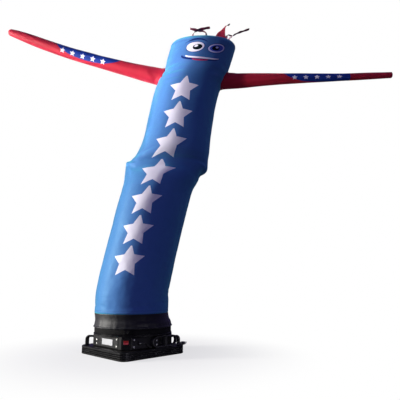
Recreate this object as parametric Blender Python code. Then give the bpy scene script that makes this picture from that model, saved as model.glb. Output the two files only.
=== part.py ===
"""An inflatable air dancer: a leaning cloth tube with a nodding head, two tapered arms and ribbon
hair, clamped by a black collar and a strap to a low square blower with a folded mains cord.

Metres, +Z up. The origin is the centre of the blower's underside, and the face looks along -Y.
"""

from math import cos, hypot, pi, radians, sin, sqrt

import bmesh
import bpy
from mathutils import Vector

# Driving sizes
TUBE_WIDTH = 0.450
CLOTH = 0.002
SEAM_GAP = 0.0005
FIT_GAP = 0.0003

TRAY_HALF = 0.2325
TRAY_CORNER = 0.045
TRAY_HEIGHT = 0.048
HOUSING_HALF = 0.188
HOUSING_CHAMFER = 0.040
HOUSING_TOP = 0.120
LID_RADIUS = 0.2375
LID_THICKNESS = 0.008
OUTLET_RADIUS = 0.2295
OUTLET_WALL = 0.004
OUTLET_TOP = 0.187
STRAP_LOW = 0.131
STRAP_WIDTH = 0.028
STRAP_THICKNESS = 0.003
COLLAR_TOP = 0.242

GRIP_OUT = 0.2805
GRIP_TOP = 0.0995
GRIP_BEND = 0.017
GRIP_DEPTH = 0.028
GRIP_WIDE = 0.022
GRIP_NARROW = 0.012

# Places on a front side of the blower are measured along it from the blower's front corner, out
# from the blower's middle, and up
PLATE_OUT = HOUSING_HALF + FIT_GAP + 0.0025
PLATE_LOW, PLATE_HIGH = 0.055, 0.113
LEFT_PLATE = (-0.118, 0.115)
RIGHT_PLATE = (-0.143, 0.048)
RATING_PLATE = (-0.0665, 0.0435)
RATING_LOW, RATING_HIGH = 0.066, 0.100
SCREW_HEIGHTS = {"inner": (0.0645, 0.1035), "outer": (0.0640, 0.0865)}
SCREW_INSET = 0.013
SCREW_RADIUS = 0.0055

SWITCH_HEIGHT = 0.0905
BEZEL = (0.038, 0.032)
BEZEL_HOLE = (0.0294, 0.0226)
BEZEL_THICKNESS = 0.005
ROCKER = (0.0282, 0.0206)
ROCKER_TILT = 7
ROCKER_PIVOT = 0.0012

CORD_DIAMETER = 0.008
GLAND_ALONG, GLAND_HEIGHT = -0.092, 0.083
CORD_EXIT = -0.068
HANK_MIDDLE = 0.0725
HANK_RUN = 0.125
HANK_BEND = 0.028
HANK_TURNS = 3
HANK_PITCH = 0.0083
HANK_FLOOR = TRAY_HEIGHT + 0.0025
HANK_OUT = PLATE_OUT + 0.0030
TIE_WIDTH, TIE_THICKNESS = 0.016, 0.0012
PLUG_ALONG, PLUG_HEIGHT = 0.187, 0.059

# The cord's route outside its hank, a row for each point along and up. The lead lies in the
# hank's first layer, and the tail in its last one.
CORD_LEAD = (
    (-0.0677, 0.0830),
    (-0.0645, 0.0830),
    (-0.0545, 0.0813),
    (-0.0457, 0.0763),
    (-0.0390, 0.0688),
    (-0.0322, 0.0612),
    (-0.0234, 0.0562),
    (-0.0134, 0.0545),
)
CORD_TAIL = (
    (0.1586, 0.0545),
    (0.1645, 0.0550),
    (0.1705, 0.0567),
    (0.1765, 0.0584),
    (0.1820, 0.0590),
    (0.1867, 0.0590),
)

ROUND_STEPS = 32
ARM_STEPS = 12

# The blue tube, a row for each section. Edges and depth are measured across it, sway is towards
# the front, and nod is the section's tilt towards the front in degrees. The tube is kinked at
# waist height: a shoulder stands out on the left at 1.187 m and on the right at 1.155 m.
TUBE_SECTIONS = (
    # height, left, right, depth, sway, nod
    (0.2425, -0.237, 0.214, 0.450, 0.000, 0.0),
    (0.340, -0.236, 0.216, 0.450, 0.000, 0.0),
    (0.450, -0.221, 0.231, 0.450, 0.000, 0.0),
    (0.600, -0.191, 0.262, 0.448, 0.000, 0.0),
    (0.750, -0.158, 0.297, 0.446, 0.000, 0.0),
    (0.900, -0.126, 0.332, 0.445, 0.000, 0.0),
    (1.020, -0.096, 0.366, 0.438, 0.000, 0.0),
    (1.060, -0.086, 0.388, 0.428, 0.000, 0.0),
    (1.100, -0.083, 0.412, 0.405, 0.000, 0.0),
    (1.155, -0.081, 0.462, 0.352, 0.000, 0.0),
    (1.187, -0.079, 0.465, 0.348, 0.000, 0.0),
    (1.216, -0.053, 0.467, 0.380, 0.000, 0.0),
    (1.265, -0.006, 0.474, 0.420, 0.000, 0.0),
    (1.343, 0.028, 0.482, 0.444, 0.000, 0.0),
    (1.480, 0.057, 0.499, 0.446, 0.000, 0.0),
    (1.660, 0.092, 0.532, 0.444, 0.000, 1.0),
    (1.750, 0.116, 0.560, 0.443, 0.003, 3.0),
    (1.850, 0.169, 0.606, 0.443, 0.012, 7.0),
    (1.900, 0.178, 0.622, 0.444, 0.019, 9.0),
    (1.980, 0.200, 0.648, 0.446, 0.034, 13.0),
    (2.018, 0.212, 0.659, 0.446, 0.043, 17.0),
)
TUBE_RINGS = (
    # from, to, count
    (0.2425, 1.060, 9),
    (1.060, 1.300, 12),
    (1.300, 1.700, 5),
    (1.700, 1.900, 7),
    (1.900, 2.018, 3),
)
CROWN_EDGE = 0.040
CROWN_DOME = 0.014
CROWN_EDGE_STEPS = 4

# The crease that runs round the kink, from above the left shoulder to below the right one
CREASE_HEIGHT = 1.178
CREASE_SLANT = 0.055
CREASE_WIDTH = 0.026
CREASE_DEPTH_SIDE = 0.012
CREASE_DEPTH_FRONT = 0.006

# Arms, a row for each section from the shoulder to the tip
RAISED_ARM = (
    # reach, height, girth
    (0.150, 1.826, 0.116),
    (0.030, 1.856, 0.106),
    (-0.100, 1.890, 0.094),
    (-0.260, 1.936, 0.085),
    (-0.480, 2.003, 0.077),
    (-0.670, 2.071, 0.073),
    (-0.790, 2.118, 0.067),
    (-0.880, 2.153, 0.056),
    (-0.928, 2.170, 0.046),
)
LEVEL_ARM = (
    # reach, height, girth
    (0.585, 1.797, 0.112),
    (0.740, 1.804, 0.096),
    (0.915, 1.812, 0.079),
    (1.080, 1.818, 0.067),
    (1.250, 1.823, 0.057),
    (1.420, 1.828, 0.048),
    (1.585, 1.836, 0.045),
    (1.700, 1.841, 0.040),
    (1.738, 1.843, 0.039),
)
ARM_RINGS = 13
ARM_GAP = 0.002

# Ribbon hair, a row for each point of a ribbon. The first point is on the crown, and its height
# is worked out. Twist is in degrees: at 0 a ribbon lies flat from front to back.
HAIR_THICKNESS = 0.0015
HAIR_STEPS = 12
HAIR = {
    "hair_curl_left": (
        # x, y, z, width, twist
        (0.362, -0.122, 0.000, 0.034, 8),
        (0.366, -0.122, 2.074, 0.034, 8),
        (0.384, -0.126, 2.099, 0.033, 14),
        (0.415, -0.134, 2.106, 0.032, 20),
        (0.450, -0.142, 2.110, 0.030, 24),
        (0.482, -0.146, 2.113, 0.026, 28),
    ),
    "hair_curl_middle": (
        (0.462, -0.088, 0.000, 0.034, -6),
        (0.458, -0.088, 2.110, 0.034, -8),
        (0.437, -0.092, 2.124, 0.033, -14),
        (0.408, -0.096, 2.127, 0.032, -20),
        (0.378, -0.098, 2.132, 0.032, -28),
        (0.346, -0.098, 2.140, 0.030, -34),
    ),
    "hair_peak": (
        (0.549, -0.118, 0.000, 0.076, 84),
        (0.558, -0.118, 2.078, 0.060, 82),
        (0.570, -0.118, 2.104, 0.036, 76),
        (0.581, -0.117, 2.128, 0.018, 60),
        (0.595, -0.114, 2.149, 0.022, 30),
        (0.617, -0.110, 2.160, 0.030, 10),
    ),
    "hair_fold": (
        (0.584, -0.082, 0.000, 0.030, 70),
        (0.592, -0.083, 2.078, 0.028, 60),
        (0.604, -0.086, 2.094, 0.026, 30),
        (0.620, -0.090, 2.090, 0.026, 10),
        (0.634, -0.092, 2.079, 0.026, 0),
    ),
    "hair_long": (
        (0.606, -0.130, 0.000, 0.028, 40),
        (0.622, -0.132, 2.050, 0.032, 30),
        (0.646, -0.134, 2.066, 0.035, 12),
        (0.675, -0.134, 2.082, 0.034, 4),
        (0.708, -0.134, 2.094, 0.032, -4),
        (0.748, -0.134, 2.109, 0.028, -10),
    ),
}


# Scene, materials and meshes


def clear_scene():
    for obj in list(bpy.data.objects):
        bpy.data.objects.remove(obj)


def material(name, colour, roughness, metallic=0.0):
    made = bpy.data.materials.new(name)
    made.use_nodes = True
    shader = made.node_tree.nodes["Principled BSDF"]
    shader.inputs["Base Color"].default_value = (*colour, 1.0)
    shader.inputs["Roughness"].default_value = roughness
    shader.inputs["Metallic"].default_value = metallic
    return made


def mesh_object(name, points, faces, finish, closed=True, sharp=35):
    """A named object from points and faces. An open surface keeps the faces' own direction."""
    mesh = bpy.data.meshes.new(name)
    mesh.from_pydata([tuple(p) for p in points], [], faces)
    if closed:
        shape = bmesh.new()
        shape.from_mesh(mesh)
        bmesh.ops.recalc_face_normals(shape, faces=shape.faces)
        shape.to_mesh(mesh)
        shape.free()
    mesh.shade_smooth()
    mesh.set_sharp_from_angle(angle=radians(sharp))
    mesh.materials.append(finish)
    obj = bpy.data.objects.new(name, mesh)
    bpy.context.scene.collection.objects.link(obj)
    return obj


def skin(rings, pole=None):
    """Points and faces of a surface through rings of equal length, closed at its end by a pole."""
    steps = len(rings[0])
    points = [p for ring in rings for p in ring]
    faces = []
    for row in range(len(rings) - 1):
        for k in range(steps):
            a = row * steps + k
            b = row * steps + (k + 1) % steps
            faces.append((a, b, b + steps, a + steps))
    if pole is not None:
        last = (len(rings) - 1) * steps
        points.append(pole)
        faces += [(last + k, last + (k + 1) % steps, len(points) - 1) for k in range(steps)]
    return points, faces


def cloth_shell(name, rings, finish, pole=None):
    """A sewn cloth piece: a surface through rings, thickened inwards."""
    points, faces = skin(rings, pole)
    obj = mesh_object(name, points, faces, finish, closed=False, sharp=60)
    wall = obj.modifiers.new("cloth", "SOLIDIFY")
    wall.thickness = CLOTH
    wall.offset = -1.0
    return obj


def lofted_solid(name, rings, finish, sharp=35):
    """A closed solid through rings, with a flat face at each end."""
    points, faces = skin(rings)
    steps = len(rings[0])
    last = (len(rings) - 1) * steps
    faces.append(tuple(range(steps))[::-1])
    faces.append(tuple(range(last, last + steps)))
    return mesh_object(name, points, faces, finish, sharp=sharp)


def turned_ring(name, profile, finish, steps=ROUND_STEPS):
    """A closed profile of (radius, height) turned about the Z axis."""
    count = len(profile)
    points = []
    for k in range(steps):
        turn = 2 * pi * k / steps
        points += [(r * cos(turn), r * sin(turn), z) for r, z in profile]
    faces = []
    for k in range(steps):
        for i in range(count):
            a, b = k * count + i, k * count + (i + 1) % count
            c, d = (k + 1) % steps * count + (i + 1) % count, (k + 1) % steps * count + i
            faces.append((a, b, c, d))
    return mesh_object(name, points, faces, finish)


def bevelled(obj, width, segments=2):
    edge = obj.modifiers.new("bevel", "BEVEL")
    edge.width = width
    edge.segments = segments
    edge.limit_method = "ANGLE"
    return obj


def smooth_between(rows, at):
    """The row at a given first value: a cubic through the rows that never overshoots them."""
    keys = [row[0] for row in rows]
    columns = range(1, len(rows[0]))
    slopes = [
        [(b[c] - a[c]) / (b[0] - a[0]) for c in columns] for a, b in zip(rows, rows[1:])
    ]
    place = next((i for i in range(len(keys) - 2) if at < keys[i + 1]), len(keys) - 2)
    span = keys[place + 1] - keys[place]
    t = min(max((at - keys[place]) / span, 0.0), 1.0)
    found = []
    for c in range(len(slopes[0])):
        before = slopes[max(place - 1, 0)][c]
        here = slopes[place][c]
        after = slopes[min(place + 1, len(slopes) - 1)][c]
        start = 0.0 if before * here <= 0 else 2 * before * here / (before + here)
        end = 0.0 if here * after <= 0 else 2 * here * after / (here + after)
        low, high = rows[place][c + 1], rows[place + 1][c + 1]
        found.append(
            (2 * t**3 - 3 * t**2 + 1) * low
            + (t**3 - 2 * t**2 + t) * span * start
            + (3 * t**2 - 2 * t**3) * high
            + (t**3 - t**2) * span * end
        )
    return found


# The blue tube


def crease(turn, height):
    """How far the cloth is drawn in at the kink, deepest at the tube's two sides."""
    side = abs(cos(turn)) ** 2
    middle = CREASE_HEIGHT - CREASE_SLANT * cos(turn)
    depth = CREASE_DEPTH_FRONT + (CREASE_DEPTH_SIDE - CREASE_DEPTH_FRONT) * side
    return depth * 2.0 ** (-(((height - middle) / CREASE_WIDTH) ** 2))


def tube_ring(height, shrink=0.0, lift=0.0):
    """One section of the tube. Shrink and lift place the rings of the crown."""
    left, right, depth, sway, nod = smooth_between(TUBE_SECTIONS, height)
    tilt = radians(nod)
    half_width, half_depth = (right - left) / 2, depth / 2
    centre = Vector(((left + right) / 2, -sway, height))
    forward = Vector((0.0, cos(tilt), sin(tilt)))
    up = Vector((0.0, -sin(tilt), cos(tilt)))
    ring = []
    for k in range(ROUND_STEPS):
        turn = 2 * pi * k / ROUND_STEPS
        inward = shrink + (crease(turn, height) if shrink == 0.0 else 0.0)
        across = Vector((1.0, 0.0, 0.0)) * (half_width - inward) * cos(turn)
        ring.append(centre + across + forward * (half_depth - inward) * sin(turn) + up * lift)
    return ring


def tube_heights():
    heights = []
    for low, high, count in TUBE_RINGS:
        heights += [low + (high - low) * i / count for i in range(count)]
    return heights + [TUBE_RINGS[-1][1]]


def make_tube(finish):
    """The tube with its printed front, closed at the top by a sewn round crown."""
    rings = [tube_ring(height) for height in tube_heights()]
    top = TUBE_SECTIONS[-1][0]
    for i in range(1, CROWN_EDGE_STEPS + 1):
        turn = (pi / 2) * i / CROWN_EDGE_STEPS
        rings.append(tube_ring(top, CROWN_EDGE * (1 - cos(turn)), CROWN_EDGE * sin(turn)))
    flat = TUBE_WIDTH / 2 - CROWN_EDGE
    for radius in (flat * 0.6, flat * 0.25, 0.0):
        rings.append(tube_ring(top, TUBE_WIDTH / 2 - radius, crown_lift(radius)))
    pole = sum(rings.pop(), Vector()) / ROUND_STEPS
    return cloth_shell("body_tube", rings, finish, pole=pole)


def crown_lift(radius):
    """How far the crown rises over the tube's last section, that far from its middle."""
    flat = TUBE_WIDTH / 2 - CROWN_EDGE
    if radius < flat:
        return CROWN_EDGE + CROWN_DOME * (1 - (radius / flat) ** 2)
    return CROWN_EDGE * sqrt(max(1 - ((radius - flat) / CROWN_EDGE) ** 2, 0.0))


def crown_height(x, y):
    """The crown's height above a place on the floor."""
    top, left, right, _, sway, nod = TUBE_SECTIONS[-1]
    tilt = radians(nod)
    across = x - (left + right) / 2
    lift = CROWN_EDGE
    for _ in range(5):
        back = (y + sway + lift * sin(tilt)) / cos(tilt)
        lift = crown_lift(hypot(across, back))
    return top + back * sin(tilt) + lift * cos(tilt)


# Arms and hair


def tube_side(side, y, z, gap):
    """The x of the tube's wall at a place on its left (-1) or right (1) side."""
    height = z
    for _ in range(3):
        left, right, depth, sway, nod = smooth_between(TUBE_SECTIONS, height)
        back = (y + sway) / cos(radians(nod))
        height = z - back * sin(radians(nod))
    share = back / (depth / 2 + gap)
    return (left + right) / 2 + side * ((right - left) / 2 + gap) * sqrt(max(1 - share**2, 0.0))


def make_arm(name, rows, side, tip, finish):
    """A tapered sleeve whose open shoulder follows the tube's wall. Tip is its rings past the
    last row, as (share of the girth, length past the row)."""
    keyed = [(side * reach, height, girth) for reach, height, girth in rows]
    first, last = keyed[0][0], keyed[-1][0]
    stations = [first + (last - first) * i / (ARM_RINGS - 1) for i in range(ARM_RINGS)]
    cross = Vector((0.0, 1.0, 0.0))
    rings = []
    for place, key in enumerate(stations):
        height, girth = smooth_between(keyed, key)
        near = smooth_between(keyed, min(key + 0.01, last))[0]
        far = smooth_between(keyed, max(key - 0.01, first))[0]
        run = min(key + 0.01, last) - max(key - 0.01, first)
        along = Vector((side * run, 0.0, near - far)).normalized()
        centre = Vector((side * key, 0.0, height))
        ring = [
            centre + (cross * cos(turn) + along.cross(cross) * sin(turn)) * girth / 2
            for turn in (2 * pi * k / ARM_STEPS for k in range(ARM_STEPS))
        ]
        if place == 0:
            for point in ring:
                point.x = tube_side(side, point.y, point.z, ARM_GAP)
        rings.append(ring)
    for share, length in tip:
        rings.append([centre + along * length + (p - centre) * share for p in ring])
    pole = centre + along * (tip[-1][1] + CLOTH / 2)
    return cloth_shell(name, rings, finish, pole=pole)


def round_tip(radius, steps=4):
    """The tip of a sleeve sewn to a half round."""
    turns = [(pi / 2) * i / steps for i in range(1, steps)]
    return [(cos(turn), radius * sin(turn)) for turn in turns]


def make_hair(name, rows, finish):
    """A ribbon with its root on the crown: a thin strip along a smooth line of hand-set points."""
    root = crown_height(*rows[0][:2]) + FIT_GAP
    points = [(x, y, z or root, width, twist) for x, y, z, width, twist in rows]
    keyed = [(float(i), *point) for i, point in enumerate(points)]
    line = [
        smooth_between(keyed, (len(points) - 1) * i / HAIR_STEPS) for i in range(HAIR_STEPS + 1)
    ]
    rings = []
    for i, (x, y, z, width, twist) in enumerate(line):
        before, after = line[max(i - 1, 0)], line[min(i + 1, HAIR_STEPS)]
        along = Vector([b - a for a, b in zip(before[:3], after[:3])]).normalized()
        flat = (Vector((0.0, 1.0, 0.0)) - along * along.y).normalized()
        rise = along.cross(flat)
        wide = flat * cos(radians(twist)) + rise * sin(radians(twist))
        thin = along.cross(wide)
        half_width, half_thick = wide * width / 2, thin * HAIR_THICKNESS / 2
        middle = Vector((x, y, z))
        rings.append(
            [
                middle - half_width - half_thick,
                middle + half_width - half_thick,
                middle + half_width + half_thick,
                middle - half_width + half_thick,
            ]
        )
    ends = [crown_height(corner.x, corner.y) for corner in rings[0]]
    bulge = max(root - sum(ends) / len(ends), 0.0)
    for corner, height in zip(rings[0], ends):
        corner.z = height + bulge + 3 * FIT_GAP
    return lofted_solid(name, rings, finish, sharp=60)


# Collar, strap and buckle


def make_collar(finish):
    """The black cloth collar: drawn tight over the outlet, rolled out above the strap and leaning
    with the tube where it is sewn to it."""
    tight = OUTLET_RADIUS + FIT_GAP + CLOTH
    above = STRAP_LOW + STRAP_WIDTH
    left, right = TUBE_SECTIONS[0][1:3]
    lean = (left + right) / 2
    profile = (
        # height, radius, share of the lean
        (STRAP_LOW, tight, 0.0),
        (above, tight, 0.0),
        (above + 0.0045, tight + 0.0095, 0.0),
        (above + 0.0085, tight + 0.0085, 0.0),
        (above + 0.0150, tight + 0.0010, 0.0),
        (OUTLET_TOP + 0.0020, tight + 0.0002, 0.0),
        (OUTLET_TOP + 0.0080, tight - 0.0040, 0.2),
        (COLLAR_TOP - 0.020, tight - 0.0065, 0.6),
        (COLLAR_TOP, (right - left) / 2, 1.0),
    )
    rings = []
    for height, radius, share in profile:
        turns = [2 * pi * k / ROUND_STEPS for k in range(ROUND_STEPS)]
        rings.append([(lean * share + radius * cos(t), radius * sin(t), height) for t in turns])
    return cloth_shell("collar", rings, finish)


def strap_radius():
    return OUTLET_RADIUS + 2 * FIT_GAP + CLOTH


def make_strap(finish):
    low, high = STRAP_LOW + SEAM_GAP, STRAP_LOW + STRAP_WIDTH - SEAM_GAP
    inner = strap_radius()
    outer = inner + STRAP_THICKNESS
    return turned_ring("strap", [(inner, low), (outer, low), (outer, high), (inner, high)], finish)


def make_buckle(finish):
    """The strap's cam buckle, at the middle of the front."""
    width, height, thickness = 0.034, 0.027, 0.007
    middle = STRAP_LOW + STRAP_WIDTH / 2 - 0.001
    back = -(strap_radius() + STRAP_THICKNESS + FIT_GAP)
    corners = [(-width / 2, -height / 2), (width / 2, -height / 2)]
    corners += [(width / 2, height / 2), (-width / 2, height / 2)]
    rings = [[(x, back - out, middle + z) for x, z in corners] for out in (0.0, thickness)]
    return bevelled(lofted_solid("strap_buckle", rings, finish), 0.0015)


# Blower


def rounded_square(half, radius, height, steps=6):
    """A square with round corners, standing on a corner as seen from above."""
    ring = []
    for quarter in range(4):
        for k in range(steps + 1):
            turn = pi / 2 * quarter + pi / 2 * k / steps
            x = (half - radius) * (1 if quarter in (0, 3) else -1) + radius * cos(turn)
            y = (half - radius) * (1 if quarter in (0, 1) else -1) + radius * sin(turn)
            ring.append(((x - y) / sqrt(2), (x + y) / sqrt(2), height))
    return ring


def make_tray(finish):
    """The square base tray, with three air grooves moulded round its sides."""
    groove_depth, groove, rib, first = 0.006, 0.006, 0.004, 0.010
    levels = [(0.0, 0.003), (0.003, 0.0)]
    for i in range(3):
        low = first + i * (groove + rib)
        levels += [(low, 0.0), (low + 0.0005, groove_depth)]
        levels += [(low + groove - 0.0005, groove_depth), (low + groove, 0.0)]
    levels += [(TRAY_HEIGHT - 0.003, 0.0), (TRAY_HEIGHT, 0.003)]
    rings = [rounded_square(TRAY_HALF - inset, TRAY_CORNER - inset, z) for z, inset in levels]
    return lofted_solid("base_tray", rings, finish, sharp=30)


def chamfered_square(half, chamfer, height):
    short = half - chamfer
    corners = [(half, -short), (half, short), (short, half), (-short, half)]
    corners += [(-x, -y) for x, y in corners]
    return [((x - y) / sqrt(2), (x + y) / sqrt(2), height) for x, y in corners]


def make_housing(finish):
    rings = [
        chamfered_square(HOUSING_HALF, HOUSING_CHAMFER, height)
        for height in (TRAY_HEIGHT + FIT_GAP, HOUSING_TOP - FIT_GAP)
    ]
    return bevelled(lofted_solid("housing", rings, finish), 0.004, 3)


def make_lid(finish):
    edge = 0.002
    low, high = HOUSING_TOP, HOUSING_TOP + LID_THICKNESS - FIT_GAP
    levels = (
        (low, LID_RADIUS - edge),
        (low + edge, LID_RADIUS),
        (high - edge, LID_RADIUS),
        (high, LID_RADIUS - edge),
    )
    turns = [2 * pi * k / ROUND_STEPS for k in range(ROUND_STEPS)]
    rings = [[(r * cos(t), r * sin(t), z) for t in turns] for z, r in levels]
    return lofted_solid("housing_lid", rings, finish)


def make_outlet(finish):
    """The round outlet that the collar is drawn over."""
    low, high = HOUSING_TOP + LID_THICKNESS, OUTLET_TOP
    outer, inner = OUTLET_RADIUS, OUTLET_RADIUS - OUTLET_WALL
    return turned_ring("outlet_ring", [(inner, low), (outer, low), (outer, high), (inner, high)], finish)


def make_handle(name, side, finish):
    """A carry handle: out of the housing's corner, round a bend and down onto the tray's corner,
    thin where it leaves the housing and wide in the grip."""
    wall = (2 * HOUSING_HALF - HOUSING_CHAMFER) / sqrt(2) + FIT_GAP
    foot = TRAY_HEIGHT + FIT_GAP
    bend = Vector((GRIP_OUT - GRIP_BEND, 0.0, GRIP_TOP - GRIP_BEND))
    flare = 0.005
    stations = [
        (Vector((wall, 0.0, GRIP_TOP)), 0.0, GRIP_NARROW + flare),
        (Vector((wall + 0.003, 0.0, GRIP_TOP)), 0.0, GRIP_NARROW + flare),
        (Vector((wall + 0.006, 0.0, GRIP_TOP)), 0.0, GRIP_NARROW),
    ]
    for i in range(7):
        turn = pi / 2 * i / 6
        out = Vector((sin(turn), 0.0, cos(turn))) * GRIP_BEND
        stations.append((bend + out, turn, GRIP_NARROW + (GRIP_WIDE - GRIP_NARROW) * sin(turn)))
    stations += [
        (Vector((GRIP_OUT, 0.0, foot + 0.006)), pi / 2, GRIP_WIDE),
        (Vector((GRIP_OUT, 0.0, foot + 0.003)), pi / 2, GRIP_WIDE + flare),
        (Vector((GRIP_OUT, 0.0, foot)), pi / 2, GRIP_WIDE + flare),
    ]
    rings = []
    for centre, turn, thickness in stations:
        across = Vector((sin(turn), 0.0, cos(turn))) * thickness / 2
        depth = Vector((0.0, GRIP_DEPTH / 2, 0.0))
        ring = []
        for k in range(12):
            angle = 2 * pi * (k + 0.5) / 12
            square = max(abs(cos(angle)), abs(sin(angle))) ** 0.5
            point = centre + (across * cos(angle) + depth * sin(angle)) / square
            ring.append((side * point.x, point.y, point.z))
        rings.append(ring)
    return lofted_solid(name, rings, finish, sharp=40)


# Front panels. Each front side of the housing has its own directions: along it from the front
# corner, out of it, and up. Side is 1 for the right front side and -1 for the left one.


def on_side(side, along, out, up):
    return Vector((side * (along + out) / sqrt(2), (along - out) / sqrt(2), up))


def side_block(name, side, along, out, up, finish, bevel):
    """A block on a front side, from pairs of lowest and highest values."""
    rings = []
    for o in out:
        corners = ((along[0], up[0]), (along[1], up[0]), (along[1], up[1]), (along[0], up[1]))
        rings.append([on_side(side, a, o, u) for a, u in corners])
    return bevelled(lofted_solid(name, rings, finish), bevel)


def side_knob(name, side, along, up, levels, finish, steps=10):
    """A round piece on a front side, from (distance out, radius) pairs."""
    rings = []
    for out, radius in levels:
        turns = [2 * pi * k / steps for k in range(steps)]
        rings.append([on_side(side, along + radius * cos(t), out, up + radius * sin(t)) for t in turns])
    return lofted_solid(name, rings, finish)


def make_panels(plate_finish, label_finish, screw_finish):
    """The two cover plates, their eight screws and the bare rating plate."""
    for word, side, span in (("left", -1, LEFT_PLATE), ("right", 1, RIGHT_PLATE)):
        out = (HOUSING_HALF + FIT_GAP, PLATE_OUT)
        up = (PLATE_LOW, PLATE_HIGH)
        side_block("cover_plate_" + word, side, span, out, up, plate_finish, 0.0008)
        base = PLATE_OUT + FIT_GAP
        head = (
            (base, SCREW_RADIUS),
            (base + 0.0007, SCREW_RADIUS),
            (base + 0.0014, SCREW_RADIUS * 0.84),
            (base + 0.0018, SCREW_RADIUS * 0.5),
        )
        for place, along in (("inner", span[0] + SCREW_INSET), ("outer", span[1] - SCREW_INSET)):
            for row, height in zip(("low", "high"), SCREW_HEIGHTS[place]):
                name = "screw_" + word + "_" + place + "_" + row
                side_knob(name, side, along, height, head, screw_finish)
    out = (PLATE_OUT + FIT_GAP, PLATE_OUT + FIT_GAP + 0.001)
    side_block("rating_plate", -1, RATING_PLATE, out, (RATING_LOW, RATING_HIGH), label_finish, 0.0003)


def make_bezel(finish):
    """The switch's frame, on the housing's front corner."""
    wall = -(2 * HOUSING_HALF - HOUSING_CHAMFER) / sqrt(2) - FIT_GAP
    rings = []
    high = BEZEL_THICKNESS
    shape = ((BEZEL_HOLE, 0.0), (BEZEL, 0.0), (BEZEL, high - 0.0008), (BEZEL, high), (BEZEL_HOLE, high))
    for i, (size, out) in enumerate(shape):
        trim = 0.0008 if i == 3 else 0.0
        x, z = size[0] / 2 - trim, size[1] / 2 - trim
        corners = ((-x, -z), (x, -z), (x, z), (-x, z))
        rings.append([(a, wall - out, SWITCH_HEIGHT + b) for a, b in corners])
    points, faces = skin(rings + [rings[0]])
    kept = len(rings) * 4
    faces = [tuple(i % kept for i in face) for face in faces]
    return mesh_object("switch_bezel", points[:kept], faces, finish)


def make_rocker(finish):
    """The rocker, with its upper half pressed in. It turns about a line behind its middle."""
    wall = -(2 * HOUSING_HALF - HOUSING_CHAMFER) / sqrt(2) - FIT_GAP
    half = ROCKER[1] / 2
    dish = [(half * (1 - i / 3), 0.0058 + 0.0022 * (1 - i / 3) ** 2) for i in range(7)]
    outline = [(-half, 0.0016), (0.0, 0.0), (half, 0.0016)]
    outline += [(z, 0.0058 + 0.0022 * (z / half) ** 2) for z, _ in dish]
    rings = [
        [Vector((x, -out, z)) for z, out in outline] for x in (-ROCKER[0] / 2, ROCKER[0] / 2)
    ]
    obj = bevelled(lofted_solid("switch_rocker", rings, finish, sharp=30), 0.0006, 1)
    obj.location = (0.0, wall - ROCKER_PIVOT, SWITCH_HEIGHT)
    obj.rotation_euler = (radians(-ROCKER_TILT), 0.0, 0.0)
    return obj


# Mains cord, on the right front side's ledge: out of an elbow gland, wound as a hank that stands
# on edge, and off along the ledge to its plug

def cord_radius():
    return CORD_DIAMETER / 2


def cord_layers():
    """How far out the hank's first and last runs lie."""
    first = HANK_OUT + cord_radius()
    return first, first + HANK_PITCH * (HANK_TURNS + 1 / 3)


def hank_outline(grow=0.0, steps=9):
    """The round-ended outline of the hank as (along, up), grown by a margin."""
    radius = HANK_BEND + cord_radius() + grow
    middle_up = HANK_FLOOR + HANK_BEND + cord_radius()
    outline = []
    for end, start in ((HANK_RUN / 2, -pi / 2), (-HANK_RUN / 2, pi / 2)):
        for k in range(steps + 1):
            turn = start + pi * k / steps
            outline.append((HANK_MIDDLE + end + radius * cos(turn), middle_up + radius * sin(turn)))
    return outline


def hank_depth():
    """The hank's inner and outer faces, as distances out of the housing's side."""
    first, last = cord_layers()
    return first - cord_radius(), last + cord_radius()


def make_hank(finish):
    rings = [[on_side(1, a, out, u) for a, u in hank_outline()] for out in hank_depth()]
    return lofted_solid("cord_hank", rings, finish, sharp=40)


def make_tie(finish):
    """The band that holds the hank, closed all round it."""
    inner, outer = hank_depth()
    low, high = HANK_FLOOR, HANK_FLOOR + 2 * HANK_BEND + CORD_DIAMETER
    rings = []
    for end in (-TIE_WIDTH / 2, TIE_WIDTH / 2):
        for grow in (FIT_GAP, FIT_GAP + TIE_THICKNESS):
            corners = (
                (inner - grow, low - grow),
                (outer + grow, low - grow),
                (outer + grow, high + grow),
                (inner - grow, high + grow),
            )
            rings.append([on_side(1, HANK_MIDDLE + end, o, u) for o, u in corners])
    rings = [rings[0], rings[1], rings[3], rings[2]]
    points, faces = skin(rings + [rings[0]])
    faces = [tuple(i % 16 for i in face) for face in faces]
    return mesh_object("cord_tie", points[:16], faces, finish)


def make_cord(name, stations, finish):
    """A stretch of cord through (along, out, up) stations on the right front side."""
    curve = bpy.data.curves.new(name, "CURVE")
    curve.dimensions = "3D"
    curve.bevel_depth = cord_radius()
    curve.bevel_resolution = 3
    curve.use_fill_caps = True
    line = curve.splines.new("POLY")
    line.points.add(len(stations) - 1)
    for point, station in zip(line.points, stations):
        point.co = (*on_side(1, *station), 1.0)
    curve.materials.append(finish)
    obj = bpy.data.objects.new(name, curve)
    bpy.context.scene.collection.objects.link(obj)
    return obj


def make_cord_stretches(finish):
    """The lead from the gland down to the hank, and the tail from the hank to the plug."""
    first, last = cord_layers()
    make_cord("cord_lead", [(along, first, up) for along, up in CORD_LEAD], finish)
    make_cord("cord_tail", [(along, last, up) for along, up in CORD_TAIL], finish)


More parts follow.
